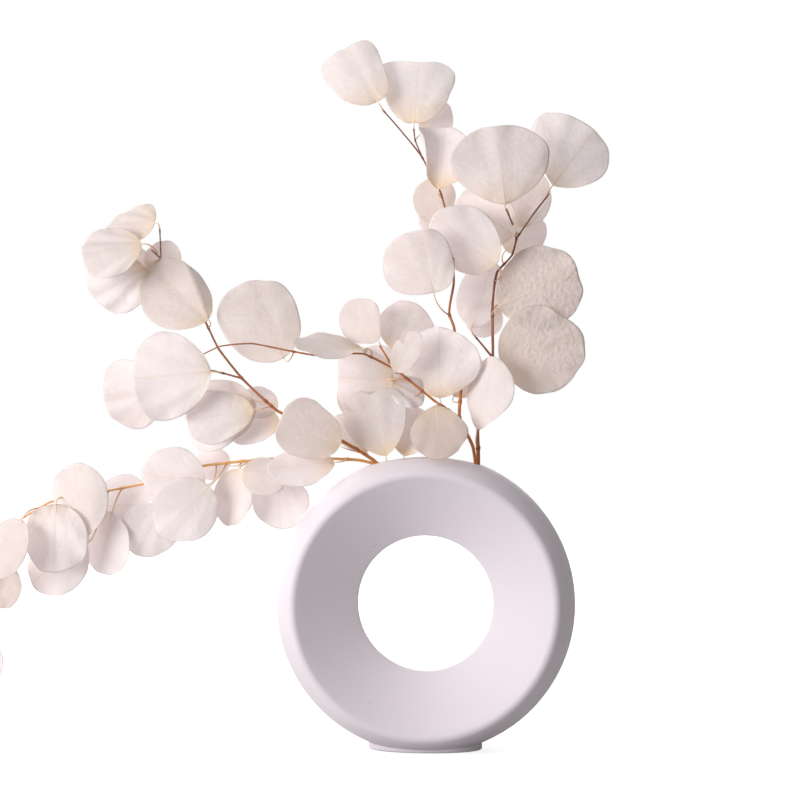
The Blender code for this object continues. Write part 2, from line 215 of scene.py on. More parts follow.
def join_shaders(tree, output, kind, *values):
    """Feeds the output node from a node that mixes or adds shaders."""
    both = add_node(tree, kind)
    for socket, value in zip(both.inputs, values):
        feed(tree, socket, value)
    feed(tree, tree.nodes[output].inputs["Surface"], both.outputs[0])


HELPERS = (new_group, place_group, new_finish, raise_surface, join_shaders)
print("finish helpers:", ", ".join(helper.__name__ for helper in HELPERS))


# %% The shared groups
FINER, FINE_SHARE = 5.0, 0.33  # mottle's second noise: scale against the first, and its part
PIT_REACH = 0.35  # how far a pit reaches, as a share of the cells' spacing
GRAIN_RANGE = (0.2, 0.7)  # the heights that fine_grain mostly gives


def make_mottle():
    """Cloudy shade from 0 to 1: noise at one scale, and in part a finer one, spread by Contrast
    from the middle."""
    group, given, result = new_group("mottle", {"Scale": 40.0, "Contrast": 1.5}, ["Value"])
    place, scale = given["Vector"], given["Scale"]
    noise = {"Vector": place, "Detail": 3.0, "Roughness": 0.5}
    coarse = add_node(group, "ShaderNodeTexNoise", Scale=scale, **noise)
    finer = {"Vector": place, "Detail": 2.0, "Roughness": 0.6}
    smaller = calculate(group, "MULTIPLY", scale, FINER)
    fine = add_node(group, "ShaderNodeTexNoise", Scale=smaller, **finer)
    share = calculate(group, "MULTIPLY", fine.outputs["Fac"], FINE_SHARE)
    total = calculate(group, "MULTIPLY_ADD", coarse.outputs["Fac"], 1 - FINE_SHARE, share)
    centred = calculate(group, "SUBTRACT", total, 0.5)
    spread = calculate(group, "MULTIPLY_ADD", centred, given["Contrast"], 0.5, clamp=True)
    feed(group, result["Value"], spread)
    return group


def make_fine_grain():
    """Height from 0 to 1: fine noise, pressed in where a cell pattern has its pits."""
    group, given, result = new_group("fine_grain", {"Scale": 900.0, "Pits": 0.3}, ["Height"])
    where = {"Vector": given["Vector"], "Scale": given["Scale"]}
    noise = add_node(group, "ShaderNodeTexNoise", Detail=4.0, Roughness=0.65, **where)
    cells = add_node(group, "ShaderNodeTexVoronoi", **where)
    near = rescale(group, cells.outputs["Distance"], 0.0, PIT_REACH, 1.0, 0.0)
    pits = calculate(group, "MULTIPLY", near, given["Pits"])
    feed(group, result["Height"], calculate(group, "SUBTRACT", noise.outputs["Fac"], pits))
    return group


MOTTLE = make_mottle()
FINE_GRAIN = make_fine_grain()
print("shared groups:", MOTTLE.name, FINE_GRAIN.name)

# %% [markdown]
# ## The vase: its section
#
# The real vase is slip-cast: liquid clay is poured into a plaster mould and poured out again,
# which leaves a wall of even thickness. Its ring is one outline turned about the axis of the
# hole: a bulging band outside, a softly rounded crest at the front and back, and a straight
# dish that falls from each crest to the narrow land in the hole. A torus has none of these, so
# the outline is put together from arcs and a line that touch each other without a corner.

# %% Sizes of the ring
vase_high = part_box("ring_vase")[1]
RING_RADIUS = vase_high.x
RING_TOP = vase_high.z
RING_CENTRE = RING_TOP / 2
BAND_ARC = 36 * MM
CREST_RADIUS = 86.5 * MM  # distance of the crest's centre from the ring's centre
CREST_ARC = 4.5 * MM
THROAT_RADIUS = 45.3 * MM
THROAT_HALF = 3.0 * MM
THROAT_ROUNDING = 1.2 * MM
WALL = 4.3 * MM
LEAST_ARC = 0.2 * MM  # an arc that the wall's thickness uses up keeps this radius
LAND_STEPS, CORNER_STEPS, DISH_STEPS, CREST_STEPS, BAND_STEPS = 2, 5, 16, 10, 28
BAND_MIDDLE = RING_RADIUS - BAND_ARC
CREST_DEPTH = math.sqrt((BAND_ARC - CREST_ARC) ** 2 - (CREST_RADIUS - BAND_MIDDLE) ** 2)
print("half depth of the ring", round((CREST_DEPTH + CREST_ARC) / MM, 2), "mm")


# %% The section as an outline
def arc(centre, radius, start, end, steps):
    """Points (distance, depth) at even angles from start to end round a centre."""
    angle = np.linspace(start, end, steps + 1)
    return np.column_stack((centre[0] + radius * np.cos(angle), centre[1] + radius * np.sin(angle)))


def ring_section(inset):
    """Closed outline (distance from the ring's centre, depth) moved inwards by inset: from the
    middle of the land to the front crest, over the band, and back by the back crest."""
    reach, rise = CREST_RADIUS - THROAT_RADIUS, CREST_DEPTH - THROAT_HALF
    slope = math.atan2(rise, reach) + math.asin(CREST_ARC / math.hypot(reach, rise))
    normal = slope + math.pi / 2
    meet = math.atan2(CREST_DEPTH, CREST_RADIUS - BAND_MIDDLE)
    rounding = max(THROAT_ROUNDING - inset, LEAST_ARC)
    crest = max(CREST_ARC - inset, LEAST_ARC)
    inward = inset + rounding
    corner_depth = THROAT_HALF - (inward + inward * math.cos(normal)) / math.sin(normal)
    corner = (THROAT_RADIUS + inward, corner_depth)
    throat = arc(corner, rounding, math.pi, normal, CORNER_STEPS)
    top = arc((CREST_RADIUS, CREST_DEPTH), crest, normal, meet, CREST_STEPS)
    band = arc((BAND_MIDDLE, 0.0), BAND_ARC - inset, meet, 0.0, BAND_STEPS)
    land = np.linspace((throat[0, 0], 0.0), throat[0], LAND_STEPS + 1)
    dish = np.linspace(throat[-1], top[0], DISH_STEPS + 1)
    half = np.concatenate((land[:-1], throat, dish[1:-1], top, band[1:]))
    return np.concatenate((half * (1, -1), half[::-1][1:-1]))


outline = ring_section(0.0)
print("section of", len(outline), "points,", round(np.ptp(outline[:, 1]) / MM, 2), "mm deep")

# %% [markdown]
# ## The vase: mouth and foot
#
# The mouth is an oval opening cut straight down, and the foot is an oval plate pressed to the
# table. A Boolean would leave long thin faces along both, which catch the light. Instead the
# grid itself makes room: a block of patches round the top is bent until the block's edge is
# the oval, and the patches inside are left out. The same block at the bottom is pressed flat,
# and its first rows make the foot's rounded edge and side.

# %% Sizes of the mouth and the foot
TURN_STEPS = 240
MOUTH_HALF = (38 * MM, 12.5 * MM)
FOOT_HALF = (38 * MM, 18 * MM)
LIP_ROUNDING = 1.4 * MM
INNER_ROUNDING = 0.8 * MM
FOOT_ROUNDING = 1.5 * MM
FOOT_FILLET = 0.6 * MM
EDGE_END, SIDE_END, FILLET_END = 3, 4, 6  # the row of the collar that ends each part of the foot
LIP_ANGLES = (22.5, 45.0, 67.5, 90.0)  # degrees round the lip and round the inner edge
INNER_ANGLES = (90.0, 60.0, 30.0)
COLLAR = 10  # rows between an oval and the undisturbed grid
MOUTH_BLOCK = (14, 10)  # half the rows and columns of the block under the mouth
FOOT_BLOCK = (14, 14)


# %% Bending a block of the grid to an oval
def block_to_oval(block):
    """Round a block of the grid: the offsets of its points and collar, the direction of each
    on a unit disc, and its row, below 0 inside the oval and up to COLLAR outside it. A square
    (a, b) becomes a disc by (a * sqrt(1 - b*b/2), b * sqrt(1 - a*a/2))."""
    i, j = np.meshgrid(
        np.arange(-block[0] - COLLAR, block[0] + COLLAR + 1),
        np.arange(-block[1] - COLLAR, block[1] + COLLAR + 1),
        indexing="ij",
    )
    shares = []
    for offset, half in ((i, block[0]), (j, block[1])):
        away = np.abs(offset)
        share = np.where(away <= half, away / half, 1 + (away - half) / COLLAR)
        shares.append(np.sign(offset) * share)
    square = np.maximum(np.abs(shares[0]), np.abs(shares[1]))
    a, b = (share / np.maximum(square, 1.0) for share in shares)
    disc = np.stack((a * np.sqrt(1 - b * b / 2), b * np.sqrt(1 - a * a / 2)), axis=-1)
    return i, j, disc, (square - 1) * COLLAR


def band_height(x, y, inset):
    """How far above the ring's centre the band lies at (x, y), or below it at the bottom."""
    reach = BAND_MIDDLE + np.sqrt((BAND_ARC - inset) ** 2 - y * y)
    return np.sqrt(reach * reach - x * x)


def ring_grid(inset):
    """Points of the ring moved inwards by inset: the section turned about the hole's axis."""
    section = ring_section(inset)
    turn = 2 * math.pi * np.arange(TURN_STEPS) / TURN_STEPS
    distance, depth = section[:, 0], section[:, 1]
    x = np.sin(turn)[:, None] * distance
    z = RING_CENTRE + np.cos(turn)[:, None] * distance
    return np.stack((x, np.broadcast_to(depth, x.shape), z), axis=-1)


def open_mouth(points, inset, widened):
    """Bends the rows at the top to the oval of the mouth, widened by a rounding."""
    i, j, disc, row = block_to_oval(MOUTH_BLOCK)
    middle = points.shape[1] // 2
    i, j = i % TURN_STEPS, j + middle
    oval = disc * (np.array(MOUTH_HALF) + widened)
    share = np.clip(row / COLLAR, 0, 1)[..., None]
    plan = oval * (1 - share) + points[i, j, :2] * share
    height = RING_CENTRE + band_height(plan[..., 0], plan[..., 1], inset)
    points[i, j] = np.dstack((plan, np.minimum(height, RING_TOP - inset)))


def press_foot(points):
    """Bends the rows at the bottom to the oval foot: flat inside it, a rounded edge, the side,
    a small fillet, and then back to the ring."""
    i, j, disc, row = block_to_oval(FOOT_BLOCK)
    i, j = (i + TURN_STEPS // 2) % TURN_STEPS, j + points.shape[1] // 2
    steps = np.arange(COLLAR + 1)
    swing = np.radians(90 * np.minimum(steps, EDGE_END) / EDGE_END)
    bend = np.radians(90 * np.clip((steps - SIDE_END) / (FILLET_END - SIDE_END), 0, 1))
    offset = FOOT_ROUNDING * (np.sin(swing) - 1) + FOOT_FILLET * (1 - np.cos(bend))
    step = np.clip(np.round(row), 0, COLLAR).astype(int)
    oval = disc * np.array((-1, 1)) * (np.array(FOOT_HALF) + offset[step][..., None])
    share = np.clip((row - FILLET_END) / (COLLAR - FILLET_END), 0, 1)[..., None]
    plan = oval * (1 - share) + points[i, j, :2] * share
    under = RING_CENTRE - band_height(plan[..., 0], plan[..., 1], 0.0)
    edge = FOOT_ROUNDING * (1 - np.cos(swing))
    above = under - FOOT_FILLET * (1 - np.sin(bend[step]))
    height = np.where(step <= EDGE_END, edge[step], above)
    points[i, j] = np.dstack((plan, np.where(row <= 0, 0.0, height)))


print("collar of", COLLAR, "rows round the mouth and the foot")


# %% The closed shell
def block_edge(half_rows, half_columns):
    """Offsets of the points round the edge of a block, one side after another."""
    rows, columns = np.arange(-half_rows, half_rows), np.arange(-half_columns, half_columns)
    i = np.concatenate((rows, columns * 0 + half_rows, -rows, columns * 0 - half_rows))
    j = np.concatenate((rows * 0 - half_columns, columns, rows * 0 + half_columns, -columns))
    return i, j


def lip_rows():
    """Rings of points from the outer wall to the inner one round the mouth: a quarter circle
    over the lip, the straight cut through the wall, and a small quarter circle inside."""
    i, j, disc, _ = block_to_oval(MOUTH_BLOCK)
    edge = block_edge(*MOUTH_BLOCK)
    around = disc[edge[0] + MOUTH_BLOCK[0] + COLLAR, edge[1] + MOUTH_BLOCK[1] + COLLAR]
    half = np.array(MOUTH_HALF)

    def height(widened, inset):
        """Where a wall stands along the oval widened by a rounding, no higher than the top."""
        plan = around * (half + widened)
        wall = band_height(plan[:, 0], plan[:, 1], inset) + RING_CENTRE
        return np.minimum(wall, RING_TOP - inset)

    top, bottom = height(LIP_ROUNDING, 0.0), height(INNER_ROUNDING, WALL)
    rows = []
    for angle in np.radians(LIP_ANGLES):
        plan = around * (half + LIP_ROUNDING * (1 - math.sin(angle)))
        rows.append(np.column_stack((plan, top - LIP_ROUNDING * (1 - math.cos(angle)))))
    for angle in np.radians(INNER_ANGLES):
        plan = around * (half + INNER_ROUNDING * (1 - math.sin(angle)))
        rows.append(np.column_stack((plan, bottom + INNER_ROUNDING * (1 - math.cos(angle)))))
    return np.stack(rows)


def build_vase(finish):
    """The outer wall, the inner wall turned inside out, and the lip that joins them."""
    outer, inner = ring_grid(0.0), ring_grid(WALL)
    open_mouth(outer, 0.0, LIP_ROUNDING)
    open_mouth(inner, WALL, INNER_ROUNDING)
    press_foot(outer)
    turns, columns = outer.shape[:2]
    faces = grid_faces(turns, columns, closed_rows=True, closed_columns=True)
    i, j = np.meshgrid(
        np.arange(-MOUTH_BLOCK[0], MOUTH_BLOCK[0]), np.arange(-MOUTH_BLOCK[1], MOUTH_BLOCK[1])
    )
    kept = np.ones(faces.shape[:2], dtype=bool)
    kept[i % turns, j + columns // 2] = False
    wall = faces[kept]

    edge_i, edge_j = block_edge(*MOUTH_BLOCK)
    edge = (edge_i % turns) * columns + edge_j + columns // 2
    lip = lip_rows()
    start = 2 * turns * columns
    numbers = start + np.arange(lip.shape[0] * lip.shape[1]).reshape(lip.shape[:2])
    loops = np.concatenate((edge[None], numbers, edge[None] + turns * columns))
    following = np.roll(loops, -1, axis=1)
    strips = np.stack((loops[:-1], following[:-1], following[1:], loops[1:]), axis=-1)

    points = np.concatenate((outer.reshape(-1, 3), inner.reshape(-1, 3), lip.reshape(-1, 3)))
    faces = np.concatenate((wall, wall[:, ::-1] + turns * columns, strips.reshape(-1, 4)))
    used, faces = np.unique(faces, return_inverse=True)
    return surface_piece("vase_body", points[used], faces.reshape(-1, 4), [finish])


# %% [markdown]
# ## The vase: matte ceramic
#
# The clay is white with a faint pink cast and has no glaze, so light spreads on it softly and
# no reflection is sharp. A plain colour would look like plastic. Three things break it up: a
# very faint cloudiness from drying slip, a fine sandy grain, and two iron specks that burnt
# through the dish in the kiln. The underside of the foot is wiped bare and a little darker.

# %% The ceramic finish
CLAY = (0.80, 0.73, 0.775)
CLAY_SHADE = (0.777, 0.706, 0.75)
BARE_CLAY = (0.66, 0.605, 0.60)
SPECK = (0.25, 0.18, 0.17)
SPECKS = ((-34, 136), (-36, 34))  # across and up on the dish's left side, in mm
SPECK_RADIUS = 0.5 * MM
SPECK_CORE, SPECK_STRENGTH = 0.6, 0.8  # share of the radius that is full, and how dark that is
BARE_HEIGHT = 0.6 * MM  # how far the bare clay shows round the foot's edge
CLAY_ROUGHNESS = (0.72, 0.56)  # in the grain's pits and on its tops


def speck_depth(across, up):
    """Where the front of the dish lies at (across, up): its outline read at that distance."""
    away = math.hypot(across * MM, up * MM - RING_CENTRE)
    front = outline[: len(outline) // 2]
    front = front[front[:, 1] <= 0][: LAND_STEPS + CORNER_STEPS + DISH_STEPS]
    return float(np.interp(away, front[:, 0], front[:, 1]))


def make_ceramic():
    """Pale clay: cloudy between two shades, two round specks, bare at the foot, and sandy."""
    finish, tree, shader = new_finish("matte_ceramic", roughness=0.62, specular=0.3)
    place = object_place(tree)
    cloud = place_group(tree, MOTTLE, place, Scale=28.0, Contrast=1.6)
    colour = blend_colours(tree, cloud.outputs["Value"], CLAY_SHADE, CLAY)
    for across, up in SPECKS:
        spot = distance_from(tree, place, (across * MM, speck_depth(across, up), up * MM))
        core = SPECK_CORE * SPECK_RADIUS
        spot = rescale(tree, spot, core, SPECK_RADIUS, SPECK_STRENGTH, 0.0)
        colour = blend_colours(tree, spot, colour, SPECK)
    height = add_node(tree, "ShaderNodeSeparateXYZ", Vector=place).outputs["Z"]
    bare = rescale(tree, height, 0.0, BARE_HEIGHT, 1.0, 0.0)
    colour = blend_colours(tree, bare, colour, BARE_CLAY)
    feed(tree, shader.inputs["Base Color"], colour)
    grain = place_group(tree, FINE_GRAIN, place, Scale=1400.0, Pits=0.35).outputs["Height"]
    feed(tree, shader.inputs["Roughness"], rescale(tree, grain, *GRAIN_RANGE, *CLAY_ROUGHNESS))
    raise_surface(tree, shader, grain, strength=0.12, depth=0.15 * MM)
    return finish


CERAMIC = make_ceramic()
vase = build_vase(CERAMIC)
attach(vase, "root")
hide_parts("ring_vase")
print("vase of", len(vase.data.polygons), "faces")

# %% [markdown]
# ## Stems: their routes
#
# A eucalyptus stem grows in short, nearly straight stretches and turns a little at each node,
# where a pair of leaves leaves it. Each route below is a list of points from the
# cut end inside the vase to the tip, the same as in the imported solids. A polyline would
# show sharp corners and a cubic curve alone would sway like a rope, so the route is a mean of
# the two: nearly straight between its points, with a soft kink at each of them.

# %% Routes in millimetres: radius at the cut end and at the tip, the stem, and its twigs
BRANCHES = {
    "branch_right": {
        "radius": (1.9, 0.65),
        "stem": [
            (33, 0, 138.5), (35, 0, 165), (35.4, 0.6, 192), (35, 2, 213), (39, 4, 237),
            (45, 8, 262), (45, 10, 280), (45, 10, 299), (48, 12, 320), (58, 10, 331),
            (61, 7, 342), (54, -6, 361),
        ],
        "twigs": [
            [(61, 7, 342), (72, 6, 358), (83, 5, 372)],
            [(45, 8, 262), (37, 13, 272), (32, 17, 278)],
            [(39, 4, 237), (50, 0, 238), (56, -3, 244)],
        ],
    },
    "branch_centre": {
        "radius": (1.6, 0.55),
        "stem": [
            (19, -2, 149.5), (29, -4, 172), (33.5, -3.6, 192), (32, -6, 202), (23, -12, 222),
            (24, -5, 241), (19, -4, 283), (16, -2, 291), (19, 0, 312), (18, 3, 334),
            (14, 5, 359), (10, 4, 373), (3, 1, 386), (-2, 0, 396), (-20, -3, 418),
            (-29, -5, 428),
        ],
        "twigs": [
            [(-2, 0, 396), (-7, 2, 408), (-8, 3, 416)],
            [
                (23, -12, 222), (8, -16, 232), (-20, -18, 254), (-40, -19, 264),
                (-72, -19, 263), (-89, -19, 266), (-115, -19, 271), (-136, -19, 269),
                (-147, -18, 264),
            ],
            [(-20, -18, 254), (-25, -15, 262), (-30, -14, 270)],
        ],
    },
    "branch_left": {
        "radius": (1.7, 0.6),
        "stem": [
            (8, -2, 152.5), (-5, -4, 164), (-22, -4, 182), (-35, -4, 193.5), (-55, -8, 206),
            (-78, -10, 216), (-98, -11, 226), (-122, -12, 248), (-138, -11, 268),
            (-147, -9, 286), (-159, -7, 306), (-177, -8, 328),
        ],
        "twigs": [
            [(-122, -12, 248), (-142, -13, 253), (-172, -10, 244)],
            [(-177, -8, 328), (-183, -12, 334)],
            [(-177, -8, 328), (-178, -8, 349)],
        ],
    },
    "branch_low": {
        "radius": (1.4, 0.6),
        "stem": [
            (-18, 1, 148), (-25, 2, 172), (-34, 2, 190.5), (-44, 1, 193), (-61, 0, 194),
            (-104, -4, 194), (-151, -6, 189), (-186, -6, 178), (-220, -7, 171),
            (-252, -9, 165), (-276, -11, 150), (-296, -9, 128), (-310, -6, 108),
            (-316, -5, 90),
        ],
        "twigs": [],
    },
}
TWIG_SHARE, TWIG_MOST = 0.85, 0.95  # a twig's radius: share of the stem's, and the most, in mm
DRIED = 0.8  # how much of its green thickness the stem keeps
STRAIGHT = 0.55  # share of the straight stretches in the route, against the smooth cubic
ROUTE_SPACING = 0.8 * MM


# %% A smooth line through given points
def smooth_route(points):
    """Even points of a line with soft kinks: on each stretch a mean of the straight line and of
    the cubic whose direction at both ends is that of its neighbours. Returns the points and
    how far along the line each lies."""
    knots = np.array(points, dtype=float) * MM
    gap = np.linalg.norm(np.diff(knots, axis=0), axis=1)
    reached = np.concatenate(([0.0], np.cumsum(gap)))
    if len(knots) > 2:
        slope = np.gradient(knots, reached, axis=0)
    else:
        slope = np.broadcast_to(np.diff(knots, axis=0) / gap[0], knots.shape)
    walk = np.linspace(0.0, reached[-1], int(reached[-1] / ROUTE_SPACING) + 2)
    k = np.clip(np.searchsorted(reached, walk, side="right") - 1, 0, len(gap) - 1)
    t = ((walk - reached[k]) / gap[k])[:, None]
    run = gap[k][:, None]
    cubic = (
        (2 * t**3 - 3 * t**2 + 1) * knots[k]
        + (t**3 - 2 * t**2 + t) * run * slope[k]
        + (3 * t**2 - 2 * t**3) * knots[k + 1]
        + (t**3 - t**2) * run * slope[k + 1]
    )
    line = knots[k] + (knots[k + 1] - knots[k]) * t
    return STRAIGHT * line + (1 - STRAIGHT) * cubic, walk


def branch_lines(spec):
    """The stem's line and each twig's: points, distances walked and radii."""
    thick, thin = (radius * MM for radius in spec["radius"])
    route, walk = smooth_route(spec["stem"])
    radii = DRIED * (thick + (thin - thick) * walk / walk[-1])
    lines = [(route, walk, radii)]
    for points in spec["twigs"]:
        twig, twig_walk = smooth_route(points)
        near = np.argmin(np.linalg.norm(route - twig[0], axis=1))
        start, end = min(TWIG_SHARE * radii[near], TWIG_MOST * MM), DRIED * thin
        lines.append((twig, twig_walk, start + (end - start) * twig_walk / twig_walk[-1]))
    return lines


LINES = {name: branch_lines(spec) for name, spec in BRANCHES.items()}
for name, lines in LINES.items():
    print(name, "stem", round(lines[0][1][-1] / MM), "mm, twigs:", len(lines) - 1)

# %% [markdown]
# ## Leaves: where they grow
#
# Silver-dollar eucalyptus carries nearly round leaves in pairs, each on a thin stalk. A row
# below says where a blade starts, how it is turned, and how long, wide, cupped and creased it
# is, and how brown, a brown that also paints in the shade on leaves that face away from the
# light or lie behind others. Most feet lie within 5 mm of those of the imported solids, and
# seven of them up to 17 mm away. After them come leaves so small or so hidden behind others that
# they have no solid of their own, and the habits of single leaves: a straight-flanked foot, a
# notch, a fold, or pleats.

# %% Leaves, one row each
# name, branch, foot (x, y, z) in mm, heading of the midrib in degrees from +X to +Z, lean of the
# tip to the front, turn of the right half to the back, length, width, widest place as a share of
# the length, cup, crease, tone from 0 pale to 1 brown, which also paints in the shade of leaves
# that face away from the light or lie behind others, and warmth: how yellow the foot is
LEAVES = [
    ("crown_1", "centre", (-31, -5, 432), 119, -14, 8, 50, 42, 0.58, 0.14, 0, 0.21, 0.9),
    ("crown_2", "centre", (-8, 4, 417), 86, -10, 4, 49, 52, 0.66, 0.14, 0, 0, 1.06),
    ("crown_3", "centre", (9, -5, 374), 84, -6, -14, 43, 42, 0.6, 0.08, 0, 0.05, 1.6),
    ("centre_1", "centre", (13, 9, 357), 122, -12, -15, 30, 31, 0.52, 0.12, 0, 0.76, 0),
    ("centre_2", "centre", (12, 19, 341), 100, -10, 20, 32, 29, 0.52, 0.12, 0, 0.32, 0),
    ("centre_3", "centre", (6, -12, 304), 102, 10, -10, 44, 50, 0.47, 0.1, 0, 0.37, 0),
    ("right_1", "right", (53, -12, 363), 95, 8, 5, 52, 66, 0.58, 0.12, 0, 0.23, 0.66),
    ("right_2", "right", (85, 4, 377), 53, -12, 8, 50, 59, 0.62, 0.12, 0, 0.01, 0.69),
    ("right_3", "right", (60, 1, 344), 149, -4, 0, 47, 38, 0.52, 0.08, 0, 0, 0.9),
    ("right_4", "right", (61, 10, 350), 66, -8, -22, 39, 31, 0.5, 0.12, 0, 0.26, 0.84),
    ("right_5", "right", (54, 19, 335), 45, -8, 14, 34, 32, 0.52, 0.12, 0, 0, 0.96),
    ("right_6", "right", (47, -4, 323), 141, 3, -22, 53, 44, 0.5, 0.12, 0, 0, 0.62),
    ("right_7", "right", (31, 14, 283), 72, -8, -16, 47, 34, 0.52, 0.1, 0, 0, 0),
    ("right_8", "right", (49, 2, 296), 26, 3, -12, 59, 57, 0.52, 0.12, 0, 0.77, 0.33),
    ("right_9", "right", (51, -5, 257), 21, 6, -4, 56, 59, 0.48, 0.12, 0, 0.69, 0.51),
    ("right_10", "right", (35, -15, 214), 77, 4, -34, 48, 36, 0.6, 0.1, 0, 0.21, 0.12),
    ("arch_1", "centre", (10, -10, 235), 91, 6, -16, 46, 56, 0.54, 0.12, 0, 0.01, 1.29),
    ("arch_2", "centre", (-19, -21, 252), 61, 12, -20, 31, 20, 0.5, 0.1, 0.15, 0.44, 0.45),
    ("arch_3", "centre", (-21, -6, 267), 66, -14, -6, 36, 37, 0.54, 0.14, 0, 0.15, 1.08),
    ("arch_4", "centre", (-31, -14, 273), 134, -6, -20, 33, 31, 0.56, 0.12, 0, 0.5, 0),
    ("arch_5", "centre", (-37, -24, 267), 174, 10, 70, 50, 38, 0.5, 0.05, 0, 0.54, 1.6),
    ("arch_6", "centre", (-21, -8, 247), 177, -6, 12, 40, 44, 0.56, 0.1, 0, 0.12, 1.48),
    ("arch_7", "centre", (-17, 9, 225), 166, -10, -14, 46, 39, 0.5, 0.12, 0, 1, 0.69),
    ("arch_8", "centre", (8, -22, 230), 274, 6, 8, 35, 38, 0.56, 0.12, 0, 1, 0.99),
    ("arch_9", "centre", (-94, -11, 261), 121, -6, 10, 61, 54, 0.54, 0.12, 0, 0.56, 0.27),
    ("left_1", "left", (-26, -10, 196), 106, 6, -14, 48, 45, 0.6, 0.12, 0, 0.29, 1.6),
    ("left_2", "left", (-14, -3, 196), 74, -5, -25, 34, 30, 0.54, 0.14, 0.1, 0, 1.6),
    ("left_3", "low", (-40, 7, 198), 128, -8, 40, 33, 23, 0.52, 0.12, 0, 0, 1.6),
    ("left_4", "left", (-55, -24, 203), 154, 8, -14, 45, 41, 0.56, 0.14, 0, 0.68, 0.99),
    ("left_5", "left", (-98, -3, 219), 189, -6, 38, 36, 29, 0.5, 0.12, 0, 0, 1.6),
    ("left_6", "left", (-113, -15, 227), 188, 6, 14, 46, 38, 0.6, 0.12, 0, 0, 1.38),
    ("left_7", "left", (-114, -5, 232), 196, -8, 12, 53, 50, 0.56, 0.12, 0.15, 0, 0.62),
    ("left_8", "left", (-141, -22, 252), 185, 8, 4, 53, 59, 0.56, 0.1, 0, 0, 0.54),
    ("left_9", "left", (-179, -10, 240), 191, -8, -14, 39, 49, 0.5, 0.12, 0, 0.3, 0),
    ("left_10", "left", (-144, -15, 287), 138, -5, 4, 56, 45, 0.52, 0.12, 0.16, 0.63, 1.25),
    ("left_11", "left", (-187, -12, 322), 209, -6, -16, 42, 42, 0.52, 0.14, 0, 0.03, 1.57),
    ("left_12", "left", (-188, -20, 337), 191, 8, 28, 40, 40, 0.54, 0.12, 0, 0.27, 1.6),
    ("left_13", "left", (-181, -7, 352), 194, -10, 40, 40, 42, 0.5, 0.12, 0, 0.55, 0.85),
    ("low_1", "low", (-60, -12, 192), 184, 6, 48, 44, 36, 0.52, 0.12, 0, 0.19, 1.17),
    ("low_2", "low", (-99, -3, 182), 272, -8, 10, 36, 41, 0.48, 0.12, 0, 0, 0.24),
    ("low_3", "low", (-121, -14, 187), 345, 8, -24, 30, 28, 0.5, 0.12, 0, 0.46, 0.85),
    ("low_4", "low", (-125, -6, 187), 256, -4, 32, 39, 33, 0.5, 0.14, 0.1, 0.23, 0.73),
    ("low_5", "low", (-147, -11, 177), 169, 4, -8, 43, 42, 0.5, 0.1, 0, 0.17, 0.06),
    ("low_6", "low", (-143, -16, 176), 224, 6, -4, 45, 43, 0.5, 0.1, 0, 0, 0.33),
    ("low_7", "low", (-177, -5, 163), 242, -6, -14, 39, 39, 0.5, 0.1, 0, 0, 0.15),
    ("low_8", "low", (-187, 2, 163), 183, -10, 12, 41, 44, 0.5, 0.1, 0, 0, 0),
    ("low_9", "low", (-227, -14, 143), 98, 6, -14, 49, 40, 0.54, 0.1, 0, 0.36, 0),
    ("low_10", "low", (-211, -3, 158), 256, -8, 28, 44, 40, 0.54, 0.1, 0, 0, 0),
    ("low_11", "low", (-246, -18, 164), 268, 0, 6, 46, 46, 0.5, 0.12, 0, 0, 0.56),
    ("low_12", "low", (-230, -3, 140), 219, -8, 16, 51, 43, 0.5, 0.12, 0, 0, 0.21),
    ("low_13", "low", (-267, -26, 154), 240, 4, 26, 43, 34, 0.5, 0.12, 0, 0.54, 0),
    ("low_14", "low", (-276, -7, 119), 228, -8, 16, 31, 30, 0.5, 0.12, 0, 0.83, 0),
    ("low_15", "low", (-294, -12, 111), 200, 6, -12, 37, 35, 0.5, 0.12, 0, 0.15, 0.45),
    ("low_16", "low", (-298, -6, 74), 265, -6, 24, 35, 32, 0.5, 0.12, 0, 0.06, 0.03),
    ("low_17", "low", (-318, -4, 83), 215, 6, -18, 36, 35, 0.5, 0.12, 0, 0.15, 0.45),
]
HIDDEN_LEAVES = [
    ("behind_1", "centre", (-3, 12, 414), 42, -10, 20, 27, 24, 0.52, 0.12, 0, 0, 0.95),
    ("behind_2", "right", (48, 17, 298), 228, -10, -10, 26, 26, 0.52, 0.12, 0, 0, 0.93),
    ("behind_3", "centre", (-24, 4, 240), 110, -14, 20, 34, 34, 0.52, 0.12, 0, 0, 0.18),
    ("behind_4", "left", (-166, -2, 323), 152, -12, 10, 27, 26, 0.52, 0.12, 0, 0, 1.17),
    ("behind_5", "left", (-187, 0, 316), 150, -10, 20, 34, 34, 0.52, 0.12, 0, 0, 1.6),
    ("behind_6", "low", (-133, 8, 189), 172, -12, 15, 26, 23, 0.52, 0.12, 0, 0.09, 0.27),
    ("behind_7", "left", (-100, 2, 227), 157, -8, 15, 27, 22, 0.52, 0.12, 0, 0, 0.9),
    ("behind_8", "centre", (-22, -14, 245), 333, -6, -25, 25, 23, 0.52, 0.12, 0, 0, 1.21),
    ("behind_9", "centre", (19, 2, 236), 62, -8, 10, 30, 27, 0.52, 0.12, 0, 0, 1.5),
]

